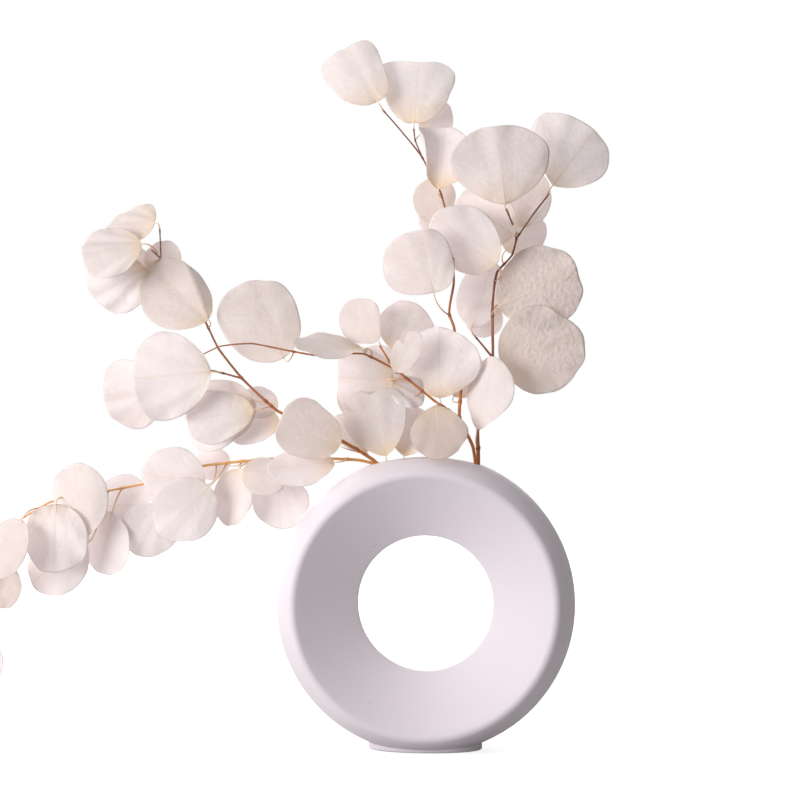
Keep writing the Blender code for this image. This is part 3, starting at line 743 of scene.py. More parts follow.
# %% Habits of single leaves, where they differ from the usual ones
# wedge: 0 round foot to 1 straight flanks; ragged, wave, pleat, crinkle: how uneven the margin
# and the sheet are; lopsided: more width on the right; shear: right half towards the tip; notch:
# its depth, at notch_at degrees from the foot; squared: corners; bends: folds, each with its
# direction, place, radius and degrees
HABITS = {
    "crown_1": dict(wedge=0.4, lopsided=-0.16, squared=-0.08, bends=[(-8, 0.86, 0.1, -100)]),
    "crown_2": dict(wedge=0.6, squared=-0.09, bends=[(-22, 1, 0.08, -60)]),
    "crown_3": dict(wedge=0.6, shear=-0.12, bends=[(188, 0.1, 0.34, 165)]),
    "centre_3": dict(wedge=0, lopsided=-0.28, squared=-0.04),
    "right_1": dict(wedge=0.5, crinkle=0.45, bends=[(-55, 0.75, 0.12, 60)]),
    "right_2": dict(wedge=1, lopsided=-0.2, notch=0.02, crinkle=0.45),
    "right_3": dict(wedge=0.9),
    "right_6": dict(wedge=0.3),
    "right_7": dict(lopsided=-0.1),
    "right_8": dict(squared=0.02, ragged=2.2, wave=0.07, pleat=0.02, crinkle=1.25),
    "right_9": dict(wedge=0.15, ragged=2.2, wave=0.06, pleat=0.02, crinkle=1.25),
    "right_10": dict(wedge=0.7, lopsided=0.08, squared=0.05),
    "arch_1": dict(wedge=0.7, squared=0.03, crinkle=0.6),
    "arch_2": dict(wedge=0.3, notch=0.5, notch_at=-128),
    "arch_3": dict(wedge=0.8),
    "arch_4": dict(wedge=0.2, squared=0.05),
    "arch_5": dict(wave=0.14),
    "arch_6": dict(wedge=0.9, squared=-0.06),
    "arch_8": dict(squared=0.03),
    "arch_9": dict(wedge=0.5, squared=-0.03, notch=0.1, notch_at=146),
    "left_1": dict(wedge=1.1, notch=0.16, notch_at=174, crinkle=0.45),
    "left_2": dict(wave=0.1),
    "left_4": dict(wedge=0.7, lopsided=-0.04, squared=-0.05, crinkle=0.6),
    "left_6": dict(wedge=0.9, squared=-0.05, crinkle=0.6),
    "left_7": dict(wedge=0.8, squared=-0.05, notch=0.05, wave=0.1),
    "left_8": dict(wedge=1, squared=-0.02),
    "left_10": dict(
        wedge=1.1, lopsided=-0.14, squared=0.03, crinkle=0.6, bends=[(-25, 0.5, 0.09, -50)]
    ),
    "left_11": dict(wedge=0.7, squared=-0.03, pleat=0.05),
    "left_12": dict(wedge=0.8, pleat=0.06),
    "left_13": dict(wedge=0.1, lopsided=0.3, shear=-0.14, squared=-0.05, pleat=0.05),
    "low_11": dict(wave=0.08, crinkle=0.6),
    "behind_8": dict(ragged=2, wave=0.16, pleat=0.04),
}
USUAL_HABIT = dict(
    wedge=0.5, lopsided=0.0, shear=0.0, squared=0.0, notch=0.0, notch_at=180, ragged=1.0,
    wave=0.05, pleat=0.014, crinkle=0.35, bends=(),
)
ALONG_CUP = 0.6  # how much the blade cups along its length, against across
SLANT = 0.7  # how far back along its branch a stalk starts, as a share of its length
TONE_SPREAD = 0.06
FIRST_SEED = 100
print(len(LEAVES), "leaves with a solid,", len(HIDDEN_LEAVES), "more behind them")


# %% Where a stalk meets its branch
def stalk_root(branch, foot):
    """The line of the branch nearest to a foot, and the point a little nearer to the cut end
    than the nearest one, because a stalk leaves its stem at a slant."""
    away = [np.linalg.norm(route - foot, axis=1) for route, _, _ in LINES[branch]]
    number = int(np.argmin([line.min() for line in away]))
    route, walk, _ = LINES[branch][number]
    nearest = int(np.argmin(away[number]))
    start = max(walk[nearest] - SLANT * away[number][nearest], 0.0)
    k = min(int(np.searchsorted(walk, start)), len(route) - 1)
    return number, walk[k], route[k]


def leaf_axes(heading, lean, turn):
    """Unit vectors along the midrib, across the blade, and out of its front."""
    heading, lean, turn = np.radians((heading, lean, turn))
    along = np.array(
        (math.cos(heading) * math.cos(lean), -math.sin(lean), math.sin(heading) * math.cos(lean))
    )
    front = np.array((0.0, -1.0, 0.0))
    front = front - front.dot(along) * along
    front = front / np.linalg.norm(front)
    across = np.cross(along, front)
    turned = math.cos(turn) * across - math.sin(turn) * front
    return along, turned, math.cos(turn) * front + math.sin(turn) * across


class Leaf:
    """A leaf's place, sizes, habits and own small irregularities."""

    def __init__(self, row, seed):
        """Reads a row in millimetres and degrees, and draws the irregularities."""
        self.name, branch, foot, heading, lean, turn = row[:6]
        length, width, self.widest, self.cup, self.crease, tone, self.warm = row[6:]
        self.branch = f"branch_{branch}"
        self.foot = np.array(foot, dtype=float) * MM
        self.length, self.half = length * MM, width / 2 * MM
        self.along, self.across, self.front = leaf_axes(heading, lean, turn)
        self.line, self.walk, self.root = stalk_root(self.branch, self.foot)
        for title, value in {**USUAL_HABIT, **HABITS.get(self.name, {})}.items():
            setattr(self, title, value)
        draw = np.random.default_rng(seed)
        self.phases = draw.uniform(0, 2 * math.pi, 9)
        self.sizes = draw.uniform(0.5, 1.0, 9)
        # the tone is partly the leaf's own brown and partly painted shade for leaves in shade
        self.tone = float(np.clip(tone + draw.uniform(-TONE_SPREAD, TONE_SPREAD), 0, 1))


ALL_LEAVES = [Leaf(row, seed) for seed, row in enumerate(LEAVES + HIDDEN_LEAVES, FIRST_SEED)]
longest = max(np.linalg.norm(leaf.foot - leaf.root) for leaf in ALL_LEAVES)
print("longest stalk", round(longest / MM, 1), "mm")

# %% [markdown]
# ## Stems: bark and nodes
#
# On the real stem each leaf pair leaves a small swollen ring, and the dry bark between shrinks
# into shallow ridges. A curve with a bevel has neither, so a circle is carried along each route
# here, and its radius changes along the way and round it. The twigs start inside the stem.


# %% A profile carried along a route
def unit(vectors):
    """Vectors divided by their lengths."""
    return vectors / np.linalg.norm(vectors, axis=-1, keepdims=True)


def tube_points(route, radii, sides, against):
    """Rings of points: at each point of the route a circle of its radius, square to the
    direction walked. Its first axis is that direction crossed with the vector against."""
    run = unit(np.gradient(route, axis=0))
    first = unit(np.cross(run, against))
    second = np.cross(first, run)
    angle = 2 * math.pi * np.arange(sides) / sides
    circle = np.cos(angle)[:, None] * first[:, None] + np.sin(angle)[:, None] * second[:, None]
    radii = radii[:, None] if radii.ndim == 1 else radii
    return route[:, None] + circle * radii[..., None]


def tube_faces(rows, sides, first=0):
    """The patches of a tube and one flat face over each end."""
    patches = grid_faces(rows, sides, closed_columns=True).reshape(-1, 4) + first
    start = np.arange(sides) + first
    end = start[::-1] + (rows - 1) * sides
    return [*patches.tolist(), start.tolist(), end.tolist()]


STEM_SIDES = 12
SWELLING = 0.38  # how much thicker a node is
SWELLING_REACH = 1.3 * MM
RIDGE = 0.05
RIDGE_TURNS = (9 * MM, 5 * MM)  # how far along the stem the two sets of ridges turn by a radian
SECOND_RIDGES = 0.6  # height of the two ridges against the three
UNEVEN, UNEVEN_LENGTH = 0.05, 4 * MM  # slow changes of thickness
BLUNT = 0.04  # square of the tip's radius, as a share


def bark_radii(walk, radii, nodes, seed):
    """Radius at each point and side: the tapering radius, swollen near the nodes, with three
    and two low ridges that wind slowly round, and rounded off just before the tip."""
    draw = np.random.default_rng(seed)
    twist = draw.uniform(0, 2 * math.pi, 3)
    angle = 2 * math.pi * np.arange(STEM_SIDES) / STEM_SIDES
    beside = (walk[:, None] - np.array(nodes)) / SWELLING_REACH
    swell = np.exp(-(beside**2)).max(axis=1, initial=0)
    three = np.sin(3 * angle + walk[:, None] / RIDGE_TURNS[0] + twist[0])
    two = np.sin(2 * angle - walk[:, None] / RIDGE_TURNS[1] + twist[1])
    ridges = three + SECOND_RIDGES * two
    uneven = 1 + UNEVEN * np.sin(walk / UNEVEN_LENGTH + twist[2]) + SWELLING * swell
    left = np.clip((walk[-1] - walk) / radii[-1], 0, 1)
    end = np.sqrt(np.clip(1 - (1 - left) ** 2, BLUNT, 1))
    return (radii * uneven * end)[:, None] * (1 + RIDGE * ridges), swell


print("a tube of 5 rings has", len(tube_faces(5, STEM_SIDES)), "faces")


# %% [markdown]
# ## Stems: dry bark
#
# The bark is orange-brown near the mouth, dark red-brown at the nodes and towards the tips, and
# golden on the low branch. The colours meet in long streaks, so the noise behind them is
# stretched along the height, the way most stems run.

# %% The bark finish
BARK_GOLD = (0.82, 0.47, 0.17)
BARK_LIGHT = (0.70, 0.235, 0.05)
BARK_DARK = (0.20, 0.055, 0.03)
BARK_STRETCH = 0.25  # streaks are this much denser across than along
STREAKS, NODE_SHADE = 0.5, 0.3  # how much the streaks and the nodes darken the bark
PALER = -0.2  # evens out what the streaks darken
BARK_ROUGHNESS = (0.62, 0.38)  # in the grain's pits and on its tops


def make_bark():
    """Bark from golden to dark by its age, with long streaks and dark nodes."""
    finish, tree, shader = new_finish("dry_bark", roughness=0.45, specular=0.45)
    stretch = {"Vector": object_place(tree), "Scale": (1.0, 1.0, BARK_STRETCH)}
    place = add_node(tree, "ShaderNodeMapping", **stretch).outputs["Vector"]
    streak = place_group(tree, MOTTLE, place, Scale=420.0, Contrast=3.0)
    age = point_value(tree, "age")
    dark = calculate(tree, "MULTIPLY_ADD", streak.outputs["Value"], STREAKS, age)
    dark = calculate(tree, "ADD", dark, PALER)
    node = point_value(tree, "node")
    dark = calculate(tree, "MULTIPLY_ADD", node, NODE_SHADE, dark, clamp=True)
    young = rescale(tree, age, -1.0, 0.0, 1.0, 0.0)
    light = blend_colours(tree, young, BARK_LIGHT, BARK_GOLD)
    feed(tree, shader.inputs["Base Color"], blend_colours(tree, dark, light, BARK_DARK))
    grain = place_group(tree, FINE_GRAIN, place, Scale=1600.0, Pits=0.5).outputs["Height"]
    feed(tree, shader.inputs["Roughness"], rescale(tree, grain, *GRAIN_RANGE, *BARK_ROUGHNESS))
    raise_surface(tree, shader, grain, strength=0.5, depth=0.2 * MM)
    return finish


BARK = make_bark()
print("bark finish:", BARK.name, "with", len(BARK.node_tree.nodes), "nodes")


# %% Stems with their twigs
BARK_AGE = {  # near the mouth and far from it: -1 golden, 0 orange-brown, 1 dark
    "branch_right": (0.5, 1.0),
    "branch_centre": (0.15, 0.9),
    "branch_left": (0.25, 1.0),
    "branch_low": (-0.9, -0.5),
}
AGING_START, AGING_LENGTH = 60, 200  # mm from the cut end to where the bark ages, and how far
STEM_SEED = 7
FAR_OFF = [-1.0]  # stands for the nodes of a stem or twig without any, a metre before its start


def build_stems(branch):
    """One piece for a branch: a tube for its stem and one for each twig."""
    points, faces, node, age, first = [], [], [], [], 0
    stem = LINES[branch][0][0]
    for number, (route, walk, radii) in enumerate(LINES[branch]):
        place = (branch, number)
        nodes = [leaf.walk for leaf in ALL_LEAVES if (leaf.branch, leaf.line) == place]
        if number == 0:
            starts = [twig[0][0] for twig in LINES[branch][1:]]
            nodes += [walk[np.argmin(np.linalg.norm(stem - start, axis=1))] for start in starts]
        shape, swell = bark_radii(walk, radii, nodes or FAR_OFF, STEM_SEED + number)
        rings = tube_points(route, shape, STEM_SIDES, (0.0, 1.0, 0.0))
        points.append(rings.reshape(-1, 3))
        faces += tube_faces(len(route), STEM_SIDES, first)
        node.append(np.repeat(swell, STEM_SIDES))
        start, end = BARK_AGE[branch]
        away = np.linalg.norm(route - stem[0], axis=1) / MM
        share = np.clip((away - AGING_START) / AGING_LENGTH, 0, 1)
        age.append(np.repeat(start + (end - start) * share, STEM_SIDES))
        first += rings.shape[0] * STEM_SIDES
    values = {"node": np.concatenate(node), "age": np.concatenate(age)}
    title = branch.replace("branch", "stem")
    piece = surface_piece(title, np.concatenate(points), faces, [BARK], values=values)
    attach(piece, "root")
    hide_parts(branch)
    return piece


for branch in BRANCHES:
    print(branch, "of", len(build_stems(branch).data.polygons), "faces")

# %% [markdown]
# ## Leaves: the blade's shape
#
# A blade is the image of a disc. Its foot can be drawn out to a wedge, its widest place moves,
# one half can be wider than the other, and the margin has lobes and a notch. Out of its plane
# the blade cups like a shallow spoon, its margin waves, pleats fan out from the foot, and dry
# leaves fold over along a line. A cloth simulation could crumple a sheet too, but a formula
# gives each leaf the fold that it has, and always the same one.
# The sheet gets a front and a back face a fraction of a millimetre apart, thinner towards the
# margin, so that it is a closed paper-thin solid and not a plane without thickness.

# %% The blade as a function of a disc
BLADE_STEPS = 38  # patches along each side of the square that becomes the disc
BLADE_HALF = 0.15 * MM  # half the thickness in the middle of the blade
MARGIN_HALF = 0.05 * MM
CREASE_ROUNDING = 1.5 * MM
LOBES = ((3, 0.022), (4, 0.020), (5, 0.018), (8, 0.010), (13, 0.006))  # waves round, height
NOTCH_WIDTH = 0.22  # radians round the disc
FOOT_LEAST = 5e-4  # least q at the foot, so that the power of it stays a number
RIPPLES = 0.3  # height of the short waves at the margin, against the long ones
PLEATS = (7, 12, 19)  # folds to a full turn round a point just below the foot
PLEAT_POINT = 0.15  # how far below, as a share of the length


def flat_blade(leaf, x, y):
    """Place (out across, step along) of the disc's points on the flat blade. Margin: the
    radius times 1 plus lobes and corners, less a notch. With q = (1 + y) / 2 the step is
    length * q ** a and the place across is half width * x * q ** (wedge / 2): the wedge makes
    the flanks at the foot straighter, and a puts the widest place. Lopsided widens the right
    half, and shear shifts it towards the tip."""
    angle = np.arctan2(x, -y)
    margin = sum(
        height * size * np.cos(count * angle + phase)
        for (count, height), size, phase in zip(LOBES, leaf.sizes, leaf.phases)
    )
    beside = (angle - math.radians(leaf.notch_at) + math.pi) % (2 * math.pi) - math.pi
    gap = np.exp(-((beside / NOTCH_WIDTH) ** 2))
    grown = leaf.ragged * margin * np.sin(angle / 2) ** 2 + leaf.squared * np.cos(4 * angle)
    scale = 1 + (grown - leaf.notch * gap) * (x * x + y * y)
    q = np.clip((1 + y * scale) / 2, FOOT_LEAST, None)
    peak = (1 + leaf.wedge) / (2 + leaf.wedge)
    width = 2 * peak ** ((1 + leaf.wedge) / 2) * math.sqrt(1 - peak)
    share = q ** (math.log(leaf.widest) / math.log(peak))
    wide = x * scale * q ** (leaf.wedge / 2) / width
    out = leaf.half * wide * (1 + leaf.lopsided * np.sign(x))
    return out, leaf.length * (share + leaf.shear * wide * 4 * share * (1 - share))


def blade_height(leaf, x, y, out, step):
    """Height over the flat blade: crease * |out| - cup * out squared and step squared, waves
    that grow towards the margin, and pleats that fan out from the foot."""
    radius, angle = np.hypot(x, y), np.arctan2(x, -y)
    p, s, share = leaf.phases, leaf.sizes, step / leaf.length
    crease = leaf.crease * (np.sqrt(out**2 + CREASE_ROUNDING**2) - CREASE_ROUNDING)
    cup = leaf.cup * leaf.half * ((out / leaf.half) ** 2 + ALONG_CUP * share**2)
    wave = s[5] * np.sin(2 * angle + p[5]) + s[6] * np.sin(3 * angle + p[6]) * radius
    ripple = s[7] * np.sin(6 * angle + p[7]) + s[8] * np.sin(10 * angle + p[8])
    fan = np.arctan2(out, step + PLEAT_POINT * leaf.length)
    pleats = sum(
        size * np.sin(count * fan + phase) for count, size, phase in zip(PLEATS, s, p[::-1])
    )
    waves = leaf.wave * (wave * radius**2 + RIPPLES * ripple * radius**5)
    return crease - cup + leaf.half * (waves + leaf.pleat * share * pleats)


def bend_sheet(leaf, fold, out, step, height):
    """Bends the sheet along a line: fold is the direction that the line is square to in degrees
    from across to along, its distance from the blade's middle and the bend's radius as shares
    of the half width, and the most degrees that it turns, above 0 to the front. Past the
    line the sheet follows a circle, and after it runs on straight."""
    direction, start, curl, most = fold
    along, across = math.sin(math.radians(direction)), math.cos(math.radians(direction))
    away = across * out + along * (step - leaf.length / 2)
    over = np.clip(away - start * leaf.half, 0, None)
    bend = curl * leaf.half
    swing = np.minimum(over / bend, math.radians(abs(most)))
    past, facing = over - bend * swing, math.copysign(1, most)
    shift = bend * np.sin(swing) + past * np.cos(swing) - over
    shift -= facing * height * np.sin(swing)
    rise = facing * (bend * (1 - np.cos(swing)) + past * np.sin(swing))
    return out + across * shift, step + along * shift, height * np.cos(swing) + rise


def blade_points(leaf, x, y):
    """Places in space of the disc's points (x across, y from -1 at the foot to 1 at the tip)."""
    out, step = flat_blade(leaf, x, y)
    height = blade_height(leaf, x, y, out, step)
    for fold in leaf.bends:
        out, step, height = bend_sheet(leaf, fold, out, step, height)
    parts = ((step, leaf.along), (out, leaf.across), (height, leaf.front))
    return leaf.foot + sum(amount[..., None] * axis for amount, axis in parts)


def blade_normals(leaf, x, y):
    """Direction out of the blade's front, from the points a small step to each side."""
    small = 4e-3
    right = blade_points(leaf, x + small, y) - blade_points(leaf, x - small, y)
    up = blade_points(leaf, x, y + small) - blade_points(leaf, x, y - small)
    return unit(np.cross(right, up))


ends = blade_points(ALL_LEAVES[0], np.zeros(2), np.array((-1.0, 1.0)))
span = round(float(np.linalg.norm(ends[1] - ends[0])) / MM, 1)
print(ALL_LEAVES[0].name, "has its tip", span, "mm from its foot")


# %% A closed sheet and its stalk
def blade_sheet(leaf):
    """Points and faces of the blade: a front grid, a back grid with its faces reversed, and a
    strip between their edges. The square (a, b) becomes a disc as it did for the mouth."""
    side = np.linspace(-1, 1, BLADE_STEPS + 1)
    b, a = np.meshgrid(side, side, indexing="ij")
    x, y = a * np.sqrt(1 - b * b / 2), b * np.sqrt(1 - a * a / 2)
    middle, normal = blade_points(leaf, x, y), blade_normals(leaf, x, y)
    inside = np.sqrt(np.clip(1 - x * x - y * y, 0, 1))
    thick = (MARGIN_HALF + (BLADE_HALF - MARGIN_HALF) * inside)[..., None]
    sheets = np.stack((middle + normal * thick, middle - normal * thick))
    count = BLADE_STEPS + 1
    front = grid_faces(count, count).reshape(-1, 4)[:, ::-1]
    number = np.arange(count * count).reshape(count, count)
    edge = np.concatenate((number[0, :-1], number[:-1, -1], number[-1, :0:-1], number[:0:-1, 0]))
    following = np.roll(edge, -1)
    back = count * count
    strip = np.stack((following, edge, edge + back, following + back), axis=-1)
    faces = np.concatenate((front, front[:, ::-1] + back, strip))
    flat = np.stack((0.5 + x / 2, 0.5 + y / 2), axis=-1).reshape(-1, 2)
    return sheets.reshape(-1, 3), faces, np.concatenate((flat, flat))


STALK_SIDES = 8
STALK_STEPS, RIB_STEPS = 12, 25
STALK_RADII = (0.52 * MM, 0.36 * MM, 0.1 * MM)  # at the stem, the blade's foot, the rib's end
RIB_END = 0.45  # where on the disc the raised midrib runs out


def stalk_tube(leaf):
    """The stalk, which bends from its stem into the blade's direction, and the midrib that it
    becomes: a tube that sinks into the blade."""
    reach = np.linalg.norm(leaf.foot - leaf.root)
    bend = leaf.foot - leaf.along * reach / 2
    t = np.linspace(0, 1, STALK_STEPS)[:, None]
    stalk = (1 - t) ** 2 * leaf.root + 2 * t * (1 - t) * bend + t**2 * leaf.foot
    y = np.linspace(-1, RIB_END, RIB_STEPS + 1)[1:]
    route = np.concatenate((stalk, blade_points(leaf, np.zeros_like(y), y)))

    def along(start, foot, end):
        """A number for each ring: even from start to foot on the stalk, and on to the end."""
        rib = np.linspace(foot, end, RIB_STEPS + 1)[1:]
        return np.concatenate((np.linspace(start, foot, STALK_STEPS), rib))

    rings = tube_points(route, along(*STALK_RADII), STALK_SIDES, leaf.front)
    return rings, along(-1, 0, 1)


print("a stalk and midrib of", len(stalk_tube(ALL_LEAVES[0])[0]), "rings")


# %% [markdown]
# ## Leaves: the dried blade
#
# Bleached leaves are cream to beige, warmer near the foot, and thin enough that light from
# behind comes through. The strongest side veins fan out from the foot, the later ones leave the
# midrib at a slant, and a fine net lies between them. The tissue shrinks into small wrinkles and
# lumps. All of it is drawn from the leaf's flat map, so it bends with the blade. The veins are a
# node group, and a share of translucent shader lets the light from behind through.

# %% Veins and wrinkles on the flat map
VEIN_COUNT = 7.0
BASAL_VEIN = math.radians(52)  # between the midrib and the lowest strong vein, at the foot
VEIN_WANDER, VEIN_SHIFT = 0.10, 0.06  # how unsteady veins are, and how far apart a pair starts
VEIN_HALF, NET_HALF, NET_STRENGTH = 0.09, 0.06, 0.35
WRINKLE_STRETCH = (5.0, 3.0)  # how dense the wrinkles are across the veins, and along them
MIDRIB_HALF, RIM_START = 0.02, 0.48  # on the flat map, where the blade's radius is 0.5


def make_leaf_veins():
    """With r and b the distance and direction of a place from the foot, a vein that leaves the
    midrib at the height v is the curve v = r * (1 - b / BASAL_VEIN), so the curves of even
    steps of v are the veins. Puts out Vein, 1 on a vein or on the net between them; Wrinkle, a
    height stretched along them; Along, 0 at the foot to 1; Midrib; and Rim, 1 at the margin."""
    outputs = ("Vein", "Wrinkle", "Along", "Midrib", "Rim")
    group, given, result = new_group("leaf_veins", {"Count": VEIN_COUNT}, outputs)

    def do(operation, *values):
        """A Math node of this group."""
        return calculate(group, operation, *values)

    place = given["Vector"]
    flat = add_node(group, "ShaderNodeSeparateXYZ", Vector=place)
    side, along = do("ADD", flat.outputs["X"], -0.5), flat.outputs["Y"]
    across = do("ABSOLUTE", side)
    distance = do("SQRT", do("ADD", do("POWER", across, 2.0), do("POWER", along, 2.0)))
    level = do("MULTIPLY_ADD", do("ARCTAN2", across, along), -1.0 / BASAL_VEIN, 1.0)
    level = do("MULTIPLY", level, distance)
    wander = add_node(group, "ShaderNodeTexNoise", Vector=place, Scale=6.0, Detail=2.0)
    level = do("MULTIPLY_ADD", wander.outputs["Fac"], VEIN_WANDER, level)
    level = do("MULTIPLY_ADD", do("GREATER_THAN", side, 0.0), VEIN_SHIFT, level)
    step = do("FRACT", do("MULTIPLY", level, given["Count"]))
    far = do("ABSOLUTE", do("SUBTRACT", step, 0.5))
    lines = rescale(group, far, 0.0, VEIN_HALF, 1.0, 0.0)
    edges = {"feature": "DISTANCE_TO_EDGE"}
    net = add_node(group, "ShaderNodeTexVoronoi", edges, Vector=place, Scale=24.0)
    mesh = rescale(group, net.outputs["Distance"], 0.0, NET_HALF, NET_STRENGTH, 0.0)
    feed(group, result["Vein"], do("MAXIMUM", lines, mesh))

    dense, loose = WRINKLE_STRETCH
    stretch = {"X": do("MULTIPLY", level, dense), "Y": do("MULTIPLY", side, loose)}
    stretched = add_node(group, "ShaderNodeCombineXYZ", **stretch).outputs[0]
    folds = {"Scale": 5.0, "Detail": 5.0, "Roughness": 0.62}
    wrinkle = add_node(group, "ShaderNodeTexNoise", Vector=stretched, **folds)
    feed(group, result["Wrinkle"], wrinkle.outputs["Fac"])
    feed(group, result["Along"], along)
    feed(group, result["Midrib"], rescale(group, across, 0.0, MIDRIB_HALF, 1.0, 0.0))
    away = distance_from(group, place, (0.5, 0.5, 0.0))
    feed(group, result["Rim"], rescale(group, away, RIM_START, 0.5, 0.0, 1.0))
    return group


LEAF_VEINS = make_leaf_veins()
print(LEAF_VEINS.name, "has", len(LEAF_VEINS.nodes), "nodes")

# %% The blade and stalk finishes
BLADE_PALE = (0.99, 0.925, 0.925)
# beige of browner leaves, and the colour of the painted shade that the tone gives
BLADE_BEIGE = (0.735, 0.622, 0.568)
BLADE_WARM = (0.92, 0.74, 0.53)
BLADE_VEIN = (0.86, 0.71, 0.56)
SHINE_THROUGH = (0.99, 0.955, 0.95)
GLOW_SHARE = 0.34  # share of the light that the thin blade lets through
THROUGH_PALE = 0.5  # how far the light through the blade is paler than the blade
CLOUDS, WRINKLE_SHADE = 0.3, 0.5  # how much clouds and wrinkles change the shade
FOOT_REACH, FOOT_FADE, FOOT_SHARE = 0.55, 1.6, 0.75  # how far, fast and much the foot yellows
VEIN_SHARE, MIDRIB_SHARE, RIM_SHARE = 0.22, 0.4, 0.25  # how strongly these are tinted
WRINKLE_HEIGHT, VEIN_HEIGHT, LUMP_HEIGHT = 0.6, 0.15, 2.6  # against each other
STALK_BROWN = (0.60, 0.30, 0.15)
STALK_YELLOW = (0.90, 0.66, 0.42)
YELLOWING, PALING = (-0.85, 0.0), (0.05, 0.8)  # from -1 at the stem by 0 at the foot to 1


def make_blade():
    """Pale to beige by the leaf's tone, which also paints in shade on leaves that lie in shade,
    clouds and wrinkles, yellow at the foot, with tinted veins and rim; small wrinkles and lumps;
    and a share of the light comes through."""
    finish, tree, shader = new_finish("dried_leaf", roughness=0.62, specular=0.25)
    flat = add_node(tree, "ShaderNodeUVMap", {"uv_map": "blade"}).outputs["UV"]
    veins = place_group(tree, LEAF_VEINS, flat, Count=VEIN_COUNT).outputs
    place = object_place(tree)

    def do(operation, *values, **settings):
        """A Math node of this finish."""
        return calculate(tree, operation, *values, **settings)

    cloud = place_group(tree, MOTTLE, place, Scale=90.0, Contrast=2.2).outputs["Value"]
    shade = do("MULTIPLY_ADD", cloud, CLOUDS, -CLOUDS / 2)
    # painted shade: the tone darkens leaves that face away from the light or lie behind others, as
    # well as leaves that are browner
    shade = do("ADD", shade, point_value(tree, "tone"))
    wrinkled = do("MULTIPLY_ADD", veins["Wrinkle"], WRINKLE_SHADE, -WRINKLE_SHADE / 2)
    shade = do("ADD", shade, wrinkled, clamp=True)
    colour = blend_colours(tree, shade, BLADE_PALE, BLADE_BEIGE)
    foot = rescale(tree, veins["Along"], 0.0, FOOT_REACH, 1.0, 0.0)
    foot = do("MULTIPLY", do("POWER", foot, FOOT_FADE), point_value(tree, "warm"))
    colour = blend_colours(tree, do("MULTIPLY", foot, FOOT_SHARE), colour, BLADE_WARM)
    line = do("MULTIPLY", veins["Vein"], VEIN_SHARE)
    line = do("MAXIMUM", line, do("MULTIPLY", veins["Midrib"], MIDRIB_SHARE))
    colour = blend_colours(tree, line, colour, BLADE_VEIN)
    colour = blend_colours(tree, do("MULTIPLY", veins["Rim"], RIM_SHARE), colour, BLADE_BEIGE)
    feed(tree, shader.inputs["Base Color"], colour)

    noise = {"Scale": 300.0, "Detail": 2.0, "Roughness": 0.5}
    lumps = add_node(tree, "ShaderNodeTexNoise", Vector=place, **noise)
    relief = do("MULTIPLY", veins["Wrinkle"], WRINKLE_HEIGHT)
    relief = do("MULTIPLY_ADD", veins["Vein"], VEIN_HEIGHT, relief)
    relief = do("MULTIPLY_ADD", lumps.outputs["Fac"], LUMP_HEIGHT, relief)
    relief = do("MULTIPLY", relief, point_value(tree, "crinkle"))
    raise_surface(tree, shader, relief, strength=0.7, depth=0.6 * MM)

    through = blend_colours(tree, THROUGH_PALE, colour, SHINE_THROUGH)
    glow = add_node(tree, "ShaderNodeBsdfTranslucent", Color=through)
    shaders = (GLOW_SHARE, shader.outputs[0], glow.outputs[0])
    join_shaders(tree, "Material Output", "ShaderNodeMixShader", *shaders)
    return finish


def make_stalk():
    """Brown at the stem, yellow at the blade's foot, and as pale as the blade further on."""
    finish, tree, shader = new_finish("leaf_stalk", roughness=0.5, specular=0.4)
    cloud = place_group(tree, MOTTLE, object_place(tree), Scale=300.0, Contrast=2.0)
    ripe = point_value(tree, "ripe")
    ripe = calculate(tree, "MULTIPLY_ADD", cloud.outputs["Value"], CLOUDS, ripe)
    yellow = rescale(tree, ripe, *YELLOWING, 0.0, 1.0)
    colour = blend_colours(tree, yellow, STALK_BROWN, STALK_YELLOW)
    pale = rescale(tree, ripe, *PALING, 0.0, 1.0)
    colour = blend_colours(tree, pale, colour, BLADE_PALE)
    feed(tree, shader.inputs["Base Color"], colour)
    return finish


BLADE, STALK = make_blade(), make_stalk()
print("leaf finishes:", BLADE.name, STALK.name)


# %% Build every leaf
def build_leaf(leaf, solid):
    """One piece: the blade, and its stalk and midrib with a finish of their own."""
    points, faces, flat = blade_sheet(leaf)
    rings, ripe = stalk_tube(leaf)
    stalk = tube_faces(rings.shape[0], STALK_SIDES, len(points))
    every = np.concatenate((points, rings.reshape(-1, 3)))
    spare = np.zeros((rings.shape[0] * STALK_SIDES, 2)) + (0.5, 0.0)
    values = {"ripe": np.concatenate((np.ones(len(points)), np.repeat(ripe, STALK_SIDES)))}
    for title in ("tone", "warm", "crinkle"):
        values[title] = np.full(len(every), getattr(leaf, title))
    piece = surface_piece(
        f"blade_{leaf.name}",
        every,
        [*faces.tolist(), *stalk],
        [BLADE, STALK],
        [0] * len(faces) + [1] * len(stalk),
        values,
        np.concatenate((flat, spare)),
    )
    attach(piece, "root")
    if solid:
        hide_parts(f"leaf_{leaf.name}")
    return piece


for number, leaf in enumerate(ALL_LEAVES):
    blade = build_leaf(leaf, number < len(LEAVES))
print(len(ALL_LEAVES), "leaves of", len(blade.data.polygons), "faces each")

# %% [markdown]
# ## The room: floor, light and camera
#
# A plain pale floor carries the shadow, and the background is white because the world shows
# white to the camera only. The light on the object comes from a large soft window at the left,
# a softer one above, and two behind, which shine through the thin leaves and along the upper
# left rim of the ring. An even glow comes from all round.

# %% The floor
FLOOR_RINGS = (0.0005, 0.1, 0.3, 0.8, 1.6, 3.5)  # radii in metres
FLOOR_SIDES = 96
FLOOR_GREY = (0.5, 0.5, 0.5)
FLOOR_LIFT = (0.76, 0.89)  # its own brightness for the camera near and far: helps it to white
FLOOR_FADE = (0.25, 1.0)  # how far from the foot near and far are


